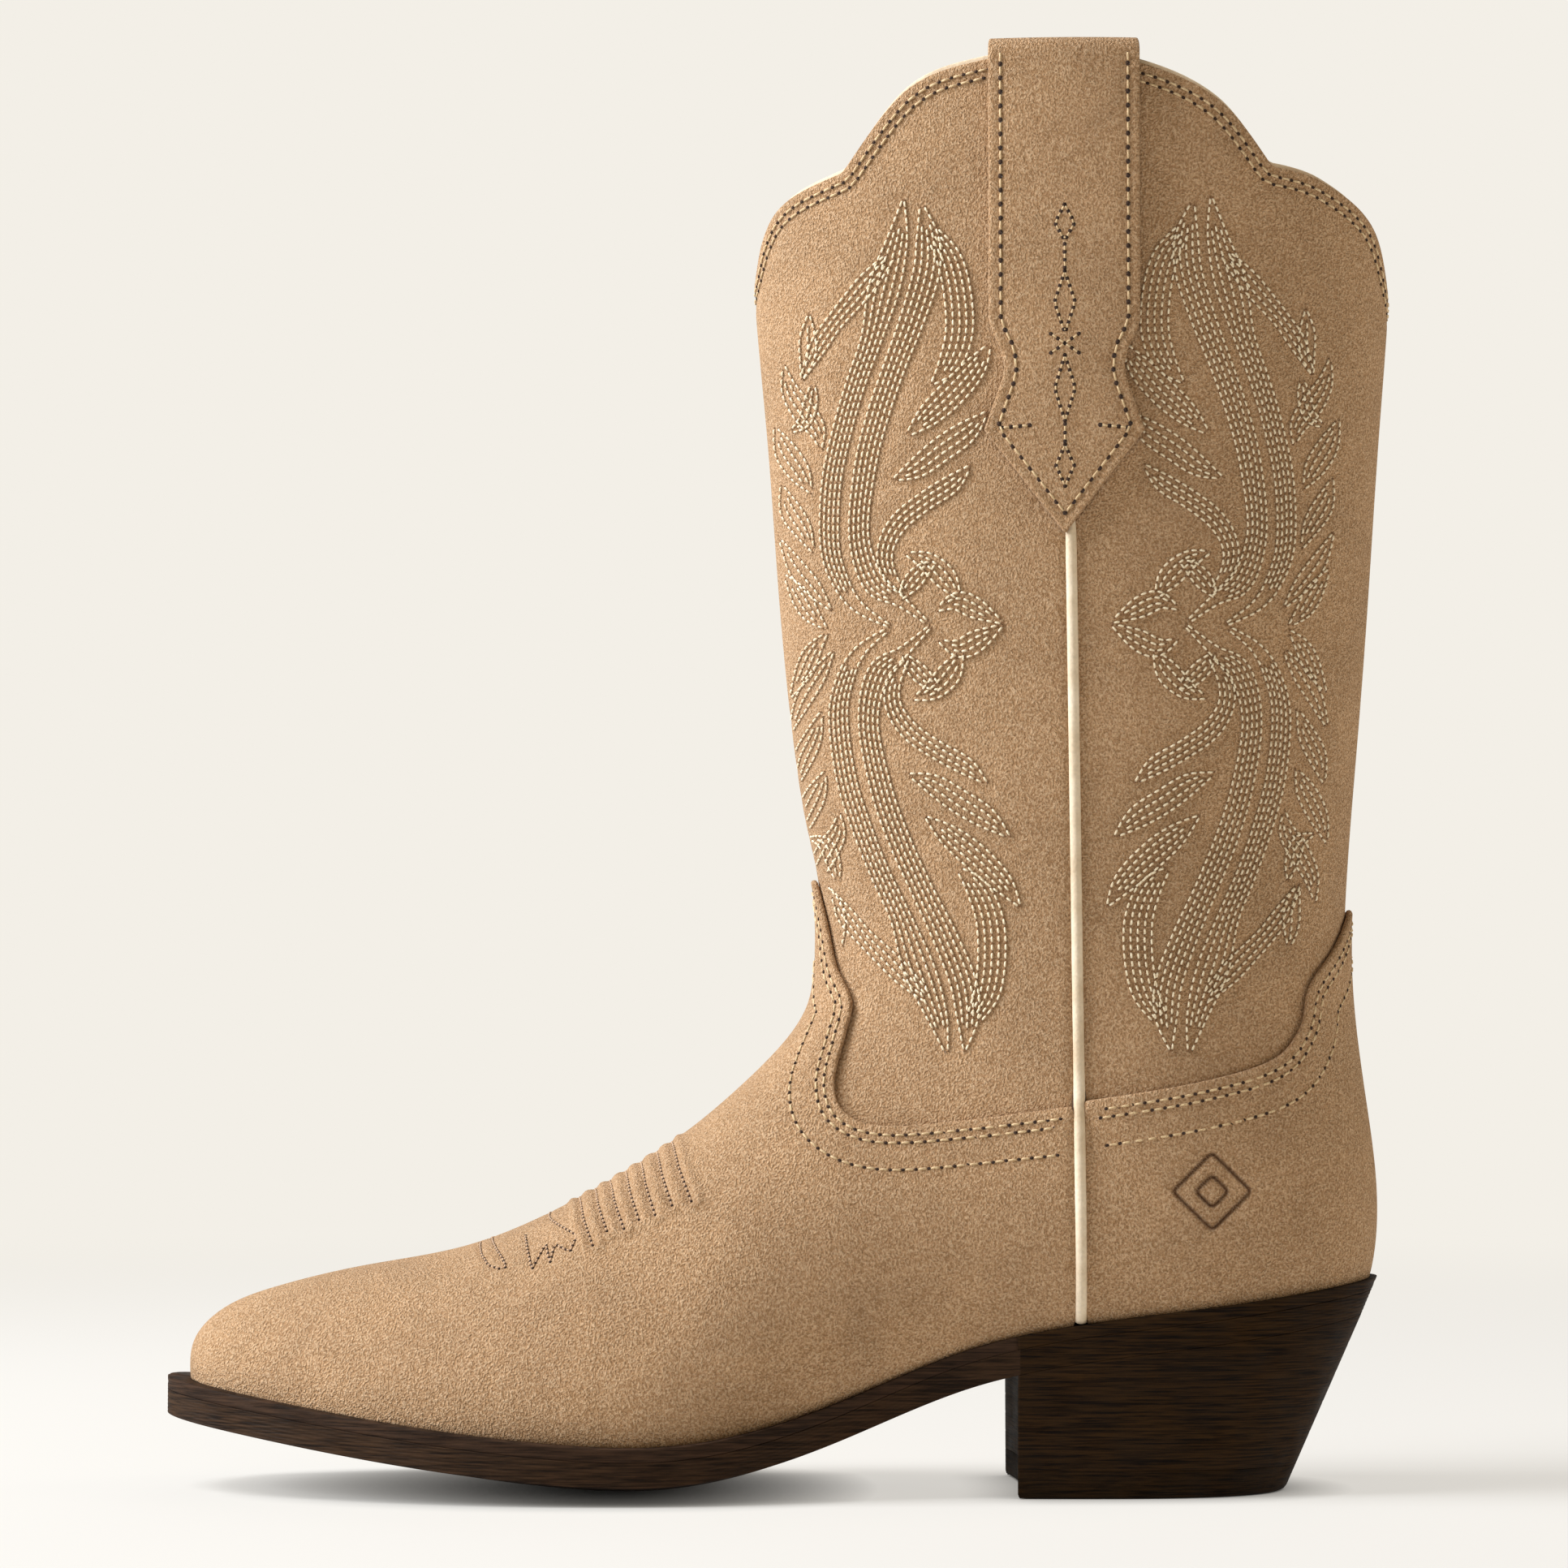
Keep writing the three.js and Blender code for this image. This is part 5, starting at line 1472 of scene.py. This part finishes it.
# Flame stitching of the upper half of the front panel: middle line as (x, z, half width)
FLAMES = [
    [[30.8, 302, 0.2], [29.4, 293, 2.3], [26.4, 282, 3.6], [23.4, 270, 2.4], [19.8, 260, 2.2],
     [16.8, 250, 2.2], [14, 237, 2.2], [13.6, 222, 2.1], [16.3, 213, 1.8], [20.4, 207, 1.2],
     [27.5, 202.3, 0.3]],
    [[27.9, 289, 1], [22.8, 283.5, 2.3], [18.8, 279, 2.3], [14.3, 274, 2], [10.7, 269, 2], [7.1, 262, 0.3]],
    [[34.9, 301, 0.2], [36.4, 293, 2.5], [36.2, 285, 3], [32.9, 274, 2.8], [28.9, 263.5, 2.5],
     [24.9, 252, 2.5], [21.9, 240, 2.4], [20.4, 224, 2.2], [23.9, 212.5, 2.4], [30, 208, 1.2],
     [36.8, 202.3, 0.3]],
    [[37.4, 294, 1.5], [41.4, 287.5, 2.8], [43.4, 279, 3.1], [43.7, 270, 3.1], [41.4, 263, 2.5],
     [37.4, 258.5, 0.3]],
    [[50.9, 267.5, 0.2], [47.4, 262, 2.5], [41.9, 256, 3.1], [36.4, 251, 2.5], [31.4, 246.5, 0.2]],
    [[50.2, 251.5, 0.2], [45.4, 247, 2.5], [39.4, 243, 2.8], [33.9, 239, 2.3], [28.4, 236.5, 0.2]],
    [[46.2, 239, 0.2], [42, 235, 2], [36, 231.3, 2.1], [29.9, 226.6, 2.1], [26.7, 221, 1.8],
     [27, 215.5, 1.5], [31, 209.5, 0.3]],
    [[31.2, 219, 0.2], [36, 217.2, 2], [40.5, 213, 2.5], [43.4, 208.5, 0.5]],
    [[38.5, 205.5, 0.2], [43, 207.6, 2], [47.5, 205.7, 2.3], [53.5, 202.3, 0.2]],
    [[30, 208.5, 0.3], [32.5, 212, 2], [35.5, 215.2, 1.6], [38, 216.6, 0.3]],
    [[8.7, 277, 0.2], [8.4, 272, 1.8], [8.4, 267, 1.8], [7.1, 262, 0.2]],
    [[2.8, 266, 0.2], [4.1, 260, 1.8], [7.7, 254, 2.5], [10.7, 249.5, 1.8], [11.5, 245, 0.2]],
    [[9.7, 261, 0.2], [9.2, 257, 1.5], [7.7, 252, 1.5], [4.1, 250, 0.2]],
    [[0.6, 252, 0.2], [3, 246, 2.3], [6.6, 240, 2.3], [9.2, 235, 0.2]],
    [[2.2, 238, 0.2], [4.1, 232, 2.2], [7.2, 226.6, 2], [9.7, 221, 0.2]],
    [[2, 225, 0.2], [5.6, 218, 1.8], [9.7, 212.4, 1.8], [13.8, 207, 0.2]],
    [[3, 216.5, 0.2], [6.6, 211, 2], [9.2, 206.4, 1.8], [12.8, 202.6, 0.2]],
]
FLAME_MIDDLE_Z = 202.0
FLAME_AXIS_X = 66.0
FLAME_BACK_STRETCH = 1.04
FLAME_LOWER_LEAN = 0.1
FLAME_BACK_LEAN = 0.06
FLAME_ROW_GAP = 1.62
FLAME_PITCH = 1.95
VAMP_CLEARANCE = 3.5


def flame_rows(middle_line):
    """Side-view rows that fill one flame and draw together at its tips."""
    line = smooth_curve(middle_line)
    centre, half_width = line[:, :2], line[:, 2]
    sideways = left_of(centre)
    count = max(int(round(2 * half_width.max() / FLAME_ROW_GAP)) + 1, 2)
    rows = []
    for k, share in enumerate(np.linspace(-1, 1, count)):
        row = centre + sideways * (half_width * share)[:, None]
        crowded = 2 * half_width / (count - 1) < FLAME_ROW_GAP * 0.5
        outermost = k in (0, count - 1)
        rows.append(row if outermost else row[~crowded])
    return rows


def lower_half(rows, lean):
    """The rows mirrored about the middle height, leaning with the shaft."""
    return [
        np.stack([row[:, 0] + lean * np.abs(row[:, 1] - FLAME_MIDDLE_Z), 2 * FLAME_MIDDLE_Z - row[:, 1]], 1)
        for row in rows
    ]


def above_vamp(row):
    edge = smooth_curve(VAMP_EDGE)
    edge = edge[edge[:, 1] > VAMP_EDGE[3][1]]
    limit = np.interp(row[:, 1], edge[:, 1], edge[:, 0]) + VAMP_CLEARANCE
    return row[(row[:, 0] > limit) | (row[:, 1] > VAMP_TIP_Z + VAMP_CLEARANCE)]


def above_counter(row):
    edge = smooth_curve(COUNTER_EDGE)
    limit = np.interp(row[:, 0], edge[:, 0], edge[:, 1]) + VAMP_CLEARANCE
    return row[row[:, 1] > limit]


def flat_rows(rows):
    """Side-view rows as flat pattern rows on the shaft panels, inside the boot's outline."""
    made = []
    for row in rows:
        if len(row) < 3:
            continue
        u, angle, down = from_side(evenly(row, 0.5), -PANEL_DEPTH)
        kept = (down > 0.0005) & (down < 0.9995)
        if kept.sum() > 2:
            made.append(flat(u[kept], angle[kept]))
    return made


def flames():
    """Rows of the front and of the back panel, which is the front's design turned about and widened."""
    upper = [row for line in FLAMES for row in flame_rows(line)]
    lower = [above_vamp(row) for row in lower_half(upper, FLAME_LOWER_LEAN)]
    turned = [
        np.stack([FLAME_AXIS_X + (FLAME_AXIS_X - row[:, 0]) * FLAME_BACK_STRETCH, row[:, 1]], 1)
        for row in upper
    ]
    turned_lower = [above_counter(row) for row in lower_half(turned, -FLAME_BACK_LEAN)]
    return {"front": flat_rows(upper + lower), "back": flat_rows(turned + turned_lower)}


EDGE_PITCH = 3.0
DOUBLE_ROW = (2.0, 3.9)
THIRD_ROW = 10.4
SEAM_CLEARANCE = 3.3


def edge_rows(path, distances, toward):
    """Rows at distances from an edge, on the side where the flat point toward lies."""
    middle = len(path) // 2
    ahead = path[middle + 1] - path[middle - 1]
    offset = toward - path[middle]
    side = 1 if ahead[0] * offset[1] - ahead[1] * offset[0] > 0 else -1
    return [clear_of_seam(inset_path(path, distance, side)) for distance in distances]


def clear_of_seam(row):
    places = form_point(*unflat(row))
    return row[np.abs(places[:, 0] - seam_x(places[:, 2])) > SEAM_CLEARANCE]


def trimmed(path, margin):
    """A flat path without its last few millimetres at each end."""
    points = evenly(path, 0.5)
    cut = int(margin / 0.5)
    return points[cut:len(points) - cut]


def both_sides(path, about_back=False):
    return np.vstack([path, mirrored(path, about_back)])


def topline_rows():
    rows = []
    for end, middle in ((FRONT, 0.0), (BACK, math.pi)):
        path = both_sides(topline(end), end == BACK)
        rows += edge_rows(trimmed(path, 8), DOUBLE_ROW, flat(18.0, middle))
    return rows


def cover_rows():
    """Three rows along the upper edge of the vamp, and three along the counter cover's."""
    vamp = both_sides(vamp_edge_path())
    counter = both_sides(counter_edge_path(), about_back=True)
    rows = []
    for path, inside_point in ((vamp, flat(6.0, 0.0)), (counter, flat(12.0, math.pi))):
        rows += edge_rows(trimmed(path, 2), (*DOUBLE_ROW, THIRD_ROW), inside_point)
    return rows


STRAP_FACE = STRAP_OUTER_OFFSET + STRAP_THICKNESS / 2 - 0.22
STRAP_PITCH = 3.3
# Middle heights and half sizes of the small lozenges sewn down the middle of the strap
STRAP_LOZENGES = [[295, 2.3, 4.2], [276.5, 2.4, 7.2], [256.5, 2.4, 7.6], [238.5, 2.1, 4.8]]
STRAP_CROSS_Z = 266.9
STRAP_BAR = [[14.6, 247.4], [8.2, 247.9]]  # distance from the strap's middle, and height
STRAP_BAR_PITCH = 2.1
STRAP_MOTIF_PITCH = 1.75


def side_inset(line, distance):
    """A side-view line moved to its left, less what would come too near it."""
    moved = line + left_of(line) * distance
    gaps = np.linalg.norm(moved[:, None] - line[None], axis=2).min(1)
    return moved[gaps > distance * 0.94]


def strap_rows():
    z = np.arange(STRAP_TIP_Z, STRAP_TOP_Z - 3, 0.5)
    half = strap_half_width(z)
    down = np.stack([STRAP_CENTRE_X - half, z], 1)[::-1]
    up = np.stack([STRAP_CENTRE_X + half, z], 1)
    return [side_inset(evenly(np.vstack([down, up[1:]]), 0.5), STRAP_ROW_INSET)]


def lozenge(x, z, half_width, half_height):
    corners = [[x, z + half_height], [x + half_width, z], [x, z - half_height], [x - half_width, z]]
    return np.array([*corners, corners[0]], float)


def strap_motifs():
    x = STRAP_CENTRE_X
    rows = [lozenge(x, z, width, height) for z, width, height in STRAP_LOZENGES]
    for (high, _, above), (low, _, below) in zip(STRAP_LOZENGES, STRAP_LOZENGES[1:]):
        if abs((high + low) / 2 - STRAP_CROSS_Z) > 1:
            rows.append(np.array([[x, high - above - 0.8], [x, low + below + 0.8]]))
    for slope in (-1, 1):
        z = 2.2 * slope
        rows.append(np.array([[x - 3.2, STRAP_CROSS_Z - z], [x + 3.2, STRAP_CROSS_Z + z]]))
    return rows


def strap_bars():
    """The short rows that come in from the two points of the strap."""
    return [[STRAP_CENTRE_X, 0] + np.array(STRAP_BAR) * [side, 1] for side in (-1, 1)]


def on_strap(rows):
    made = []
    for row in rows:
        u, angle, _ = from_side(evenly(row, 0.4), STRAP_FACE)
        made.append(flat(u, angle))
    return made


# Toe stitching: seven wrinkle rows across the ridge, as (x, z) at the ridge and at the lower end
WRINKLES = [
    [[-46, 68.4], [-41.5, 58.1]],
    [[-42.3, 70.6], [-38.3, 61.3]],
    [[-38.8, 72.4], [-34.3, 61.9]],
    [[-35, 74.5], [-30.9, 64]],
    [[-31.4, 76.7], [-27.1, 65.1]],
    [[-27.6, 78.9], [-23.2, 67.3]],
    [[-24, 81.1], [-18.7, 68.3]],
]
TOE_ZIGZAG = [
    [-58, 59.9], [-55.6, 52.6], [-52.7, 58.2], [-51.4, 54.1], [-50.5, 58.2], [-46.8, 56.6], [-45.3, 60.2]
]
TOE_RETURN = [[-45.3, 60.2], [-52.5, 63.7], [-53.4, 65.2]]
TOE_LOOP = [
    [-69.4, 57.8], [-68.2, 55.4], [-66.2, 53.2], [-63.7, 52.5], [-61.7, 52.9], [-63.2, 55.1], [-67, 59.2]
]
TOE_PITCH = 1.6
WRINKLE_HEIGHT = 0.62
WRINKLE_REACH = 1.95
WRINKLE_WIDTH = 0.95


def wrinkle_path(wrinkle):
    """One wrinkle row over the ridge, from its lower end on one side to that on the other."""
    (ridge_x, ridge_z), low = wrinkle
    u, down = section_through(np.array([ridge_x]), np.array([ridge_z]))
    half = side_path(np.array([low, [ridge_x * 0.6 + low[0] * 0.4, ridge_z * 0.6 + low[1] * 0.4]], float))
    return evenly(both_sides(np.vstack([half, flat(u, np.zeros(1))])), 0.5)


def toe_rows():
    rows = [wrinkle_path(w) for w in WRINKLES]
    for line in (TOE_ZIGZAG, TOE_RETURN, TOE_LOOP):
        path = side_path(np.array(line, float))
        rows += [path, path * [1, -1]]
    return rows


# Radius of the thread and of its needle holes, and their looks; the holes' look is painted shade
FLAME_STITCH = (IVORY_THREAD, 0.26, 0.26, SOFT_HOLE_SHADE)
EDGE_STITCH = (TAN_THREAD, 0.28, 0.42, HOLE_SHADE)
STRAP_STITCH = (TAN_THREAD, 0.26, 0.56, HOLE_SHADE)
MOTIF_STITCH = (TAN_THREAD, 0.2, 0.5, HOLE_SHADE)
TOE_STITCH = (TONED_THREAD, 0.2, 0.36, HOLE_SHADE)
SUNK = 0.1  # how far the edge stitches lie in the leather


def build_stitching():
    """Sews every row; returns the needle places on the shaft, the covers and the toe."""
    shaft = []
    for end, rows in flames().items():
        for side, word in SIDES:
            sewn = sew(rows, FLAME_PITCH, -PANEL_DEPTH - 0.06, side, staggered=True)
            stitching(f"flame_stitching_{end}_{word}", sewn, *FLAME_STITCH)
            shaft += sewn
    top = sew(topline_rows(), EDGE_PITCH, -PANEL_DEPTH - SUNK, staggered=True)
    stitching("topline_stitching", top, *EDGE_STITCH)
    covers = sew(cover_rows(), EDGE_PITCH, -SUNK, staggered=True)
    stitching("cover_edge_stitching", covers, *EDGE_STITCH)
    for side, word in SIDES:
        edge = sew(on_strap(strap_rows()), STRAP_PITCH, STRAP_FACE + 0.1, side)
        edge += sew(on_strap(strap_bars()), STRAP_BAR_PITCH, STRAP_FACE + 0.2, side)
        stitching(f"strap_edge_stitching_{word}", edge, *STRAP_STITCH)
        motifs = sew(on_strap(strap_motifs()), STRAP_MOTIF_PITCH, STRAP_FACE + 0.2, side)
        stitching(f"strap_motif_stitching_{word}", motifs, *MOTIF_STITCH)
    toe = sew(toe_rows(), TOE_PITCH, -0.12)
    stitching("toe_stitching", toe, *TOE_STITCH)
    return {"shaft": shaft + top, "covers": covers, "toe": toe}


def nearest_finder(places):
    tree = search_tree(places)
    return lambda points: np.array([tree.find(point)[2] for point in points])


def stitched_relief(sewn, depth, width, below=0.0):
    """How far the leather dips near needle places, as a function of its points on the form."""
    gap_to = nearest_finder(np.concatenate([p for p, _ in sewn]))
    return lambda points: -depth * np.exp(-(np.maximum(gap_to(points) - below, 0) / width) ** 2)


def wrinkle_relief(sewn):
    """The leather puffs up on both sides of each wrinkle row."""
    gap_to = nearest_finder(np.concatenate([p for p, _ in sewn[:len(WRINKLES)]]))

    def relief(points):
        return WRINKLE_HEIGHT * np.exp(-(((gap_to(points) - WRINKLE_REACH) / WRINKLE_WIDTH) ** 2))

    return relief


def added(*reliefs):
    return lambda points: sum(relief(points) for relief in reliefs)


def toe_points():
    """Finer flat pattern points round the toe stitching, for its wrinkles."""
    rows = np.vstack(toe_rows())
    margin = 4.0
    return lattice(rows.min(0) - margin, rows.max(0) + margin, 0.8)


# A plain pressed lozenge on the outer side of the counter cover
EMBLEM_CENTRE = (101.6, 70.6)
EMBLEM_HALF = (9.2, 8.9)
EMBLEM_INNER_SHARE = 0.42
EMBLEM_DEPTH = 0.5
EMBLEM_LINE = 0.42
EMBLEM_SHADE_LINE = EMBLEM_LINE * 1.15
EMBLEM_ROW_GAP = 0.35
EMBLEM_REACH = 14  # no leather further than this from the centre is pressed


def emblem_lines():
    x, z = EMBLEM_CENTRE
    wide, high = EMBLEM_HALF
    shares = (1.0, EMBLEM_INNER_SHARE)
    return [rounded(lozenge(x, z, wide * share, high * share)) for share in shares]


def rounded(corners):
    """A closed polygon with softened corners, as a dense line."""
    line = softened(evenly(corners, 0.3)[:-1], 12)
    return np.vstack([line, line[:1]])


def emblem_gap(points):
    """Side-view distance from the emblem's lines, for points on the boot's outer side."""
    line = np.vstack(emblem_lines())
    gaps = np.full(len(points), 99.0)
    x, z = EMBLEM_CENTRE
    near = (points[:, 1] < 0) & (np.hypot(points[:, 0] - x, points[:, 2] - z) < EMBLEM_REACH)
    away = points[near][:, None, [0, 2]] - line[None]
    gaps[near] = np.linalg.norm(away, axis=2).min(1)
    return gaps


def emblem_relief(points):
    return -EMBLEM_DEPTH * np.exp(-((emblem_gap(points) / EMBLEM_LINE) ** 2))


# darkens the emblem's lines: the nap pressed down, and painted shade in their grooves
def emblem_press_and_shade(points):
    return np.exp(-((emblem_gap(points) / EMBLEM_SHADE_LINE) ** 2))


def emblem_points():
    """Finer flat pattern points along the emblem's lines."""
    made = []
    for line in emblem_lines():
        sideways = left_of(line)
        for row in range(-3, 4):
            made.append(side_path(line + sideways * (row * EMBLEM_ROW_GAP)))
    return np.vstack(made)


# ---------------------------------------------------------------- stage, light and camera

FLOOR_RADIUS = 6.0
BACKGROUND = srgb(243, 239, 231)
FILL_COLOUR = (1.0, 0.88, 0.64)
FILL_STRENGTH = 0.1
FLOOR_COLOUR = (0.9, 0.885, 0.86)
NEAR_FLOOR = (0.86, 0.83, 0.78)
FLOOR_GLOW = 0.72  # share of the floor's look that no shadow darkens
# painted contact shadow on the floor's glow: how far it reaches in metres, and how dark it is
CONTACT_SHADOW_REACH = 0.015
CONTACT_SHADOW_DEPTH = 0.8
FADE_FROM = 0.35  # metres from the boot where the floor starts to fade into the background
FADE_TO = 1.6


FLOOR_RINGS = (0.3, 0.6, 1.2, 2.4, FLOOR_RADIUS)
FLOOR_SIDES = 64
FLOOR_DROP = 0.0002  # metres below the boot, so that the faces never coincide


def build_floor():
    """A round floor whose colour fades into the background far away."""
    turns = [2 * math.pi * i / FLOOR_SIDES for i in range(FLOOR_SIDES)]
    vertices = [(0.0, 0.0, -FLOOR_DROP)]
    vertices += [(r * math.cos(a), r * math.sin(a), -FLOOR_DROP) for r in FLOOR_RINGS for a in turns]
    faces = []
    for i in range(FLOOR_SIDES):
        j = (i + 1) % FLOOR_SIDES
        faces.append([0, 1 + i, 1 + j])
        for base in range(1, (len(FLOOR_RINGS) - 1) * FLOOR_SIDES, FLOOR_SIDES):
            faces.append([base + i, base + FLOOR_SIDES + i, base + FLOOR_SIDES + j, base + j])
    mesh = bpy.data.meshes.new("floor")
    mesh.from_pydata(vertices, [], faces)
    floor = bpy.data.objects.new("floor", mesh)
    bpy.context.scene.collection.objects.link(floor)
    mesh.materials.append(floor_material())


def glow(tree, colour):
    return new_node(tree, "Emission", Color=(*colour, 1))


def shader_mix(tree, first, second, share):
    """Two shaders mixed by a number, or by the value of another node."""
    mix = new_node(tree, "MixShader")
    tree.links.new(first.outputs[0], mix.inputs[1])
    tree.links.new(second.outputs[0], mix.inputs[2])
    if isinstance(share, float):
        mix.inputs["Fac"].default_value = share
    else:
        tree.links.new(share, mix.inputs["Fac"])
    return mix


def floor_glow(tree):
    """The floor's own glow, with a painted contact shadow where the boot nearly touches it."""
    occlusion = new_node(tree, "AmbientOcclusion", Distance=CONTACT_SHADOW_REACH)
    painted_contact_shadow = new_node(tree, "Math")
    painted_contact_shadow.operation = "POWER"
    painted_contact_shadow.inputs[1].default_value = CONTACT_SHADOW_DEPTH
    tree.links.new(occlusion.outputs["AO"], painted_contact_shadow.inputs[0])
    near = glow(tree, NEAR_FLOOR)
    tree.links.new(painted_contact_shadow.outputs["Value"], near.inputs["Strength"])
    return near


def floor_material():
    material = bpy.data.materials.new("pale_floor")
    material.use_nodes = True
    tree = material.node_tree
    tree.nodes.clear()
    coordinates = new_node(tree, "TexCoord")
    distance = new_node(tree, "VectorMath")
    distance.operation = "LENGTH"
    tree.links.new(coordinates.outputs["Object"], distance.inputs[0])
    fade = new_node(tree, "MapRange", From_Min=FADE_FROM, From_Max=FADE_TO)
    fade.interpolation_type = "SMOOTHSTEP"
    tree.links.new(distance.outputs["Value"], fade.inputs["Value"])
    diffuse = new_node(tree, "BsdfDiffuse", Color=(*FLOOR_COLOUR, 1))
    lit = shader_mix(tree, diffuse, floor_glow(tree), FLOOR_GLOW)
    mix = shader_mix(tree, lit, glow(tree, BACKGROUND), fade.outputs["Result"])
    output = new_node(tree, "OutputMaterial")
    tree.links.new(mix.outputs["Shader"], output.inputs["Surface"])
    return material


LIT_PLACE = (0, 0, 0.14)  # the middle of the boot, which every light faces


def soft_light(name, place, size, power, colour):
    light = bpy.data.lights.new(name, "AREA")
    light.shape = "RECTANGLE"
    light.size, light.size_y = size
    light.energy = power
    light.color = colour
    lamp = bpy.data.objects.new(name, light)
    lamp.location = place
    bpy.context.scene.collection.objects.link(lamp)
    direction = Vector(LIT_PLACE) - lamp.location
    lamp.rotation_euler = direction.to_track_quat("-Z", "Y").to_euler()


# Soft lights: name, place and size in metres, power in watts, colour
LIGHTS = [
    ("key", (-1.85, -0.3, 0.85), (0.8, 0.8), 48, (0.9, 0.95, 1.0)),
    ("top", (-0.9, -0.2, 1.5), (0.8, 0.8), 24, (0.97, 0.98, 1.0)),
    ("front", (-0.3, -2.0, 1.0), (1.4, 1.0), 3.5, (1.0, 0.86, 0.58)),
    ("right", (1.25, -0.45, 0.12), (0.6, 0.6), 4, (1.0, 0.9, 0.7)),
    ("rim", (1.4, 0.6, 0.9), (0.8, 1.2), 5, (1.0, 0.95, 0.86)),
    ("inner", (0.3, 2.1, 1.3), (1.6, 1.2), 10, (1.0, 0.98, 0.95)),
]


def build_world():
    """The camera sees the plain background, and the boot gets a weak warm fill."""
    world = bpy.data.worlds.new("studio")
    world.use_nodes = True
    tree = world.node_tree
    seen = tree.nodes["Background"]
    seen.inputs["Color"].default_value = (*BACKGROUND, 1)
    fill = new_node(tree, "Background", Color=(*FILL_COLOUR, 1), Strength=FILL_STRENGTH)
    rays = new_node(tree, "LightPath")
    mix = shader_mix(tree, fill, seen, rays.outputs["Is Camera Ray"])
    tree.links.new(mix.outputs["Shader"], tree.nodes["World Output"].inputs["Surface"])
    bpy.context.scene.world = world
    bpy.context.scene.view_settings.view_transform = "Standard"


CAMERA_PLACE = (0.0006, -0.9992, 0.0981)
CAMERA_TILT = 3.515
CAMERA_LENS = 95.9
CAMERA_SHIFT_Y = 0.02


def build_camera():
    camera = bpy.data.cameras.new("camera")
    camera.lens = CAMERA_LENS
    camera.sensor_width = 36
    camera.shift_y = CAMERA_SHIFT_Y
    holder = bpy.data.objects.new("camera", camera)
    holder.location = CAMERA_PLACE
    holder.rotation_euler = (math.radians(90 + CAMERA_TILT), 0, 0)
    bpy.context.scene.collection.objects.link(holder)
    bpy.context.scene.camera = holder


# ---------------------------------------------------------------- assembly

finish_carried_nodes()
SEWN = build_stitching()
SUNK_COVERS = stitched_relief(SEWN["covers"], 0.3, 0.8)
SUNK_TOE = stitched_relief(SEWN["toe"], 0.32, 0.75)
SUNK_SHAFT = stitched_relief(SEWN["shaft"], 0.3, 1.0, below=PANEL_DEPTH)
build_upper(
    {"relief": added(SUNK_COVERS, wrinkle_relief(SEWN["toe"]), SUNK_TOE), "extra": toe_points()},
    {"relief": added(SUNK_COVERS, emblem_relief), "extra": emblem_points(), "pressed_and_shaded": emblem_press_and_shade},
    {"relief": SUNK_SHAFT},
)
build_linings()
for side, word in SIDES:
    build_piping(side, f"piping_cord_{word}", f"piping_{word}")
for side, word in SIDES:
    build_strap(side, f"pull_strap_suede_{word}", f"pull_strap_{word}")
build_soles()
build_heel()
build_floor()
for light in LIGHTS:
    soft_light(*light)
build_world()
build_camera()
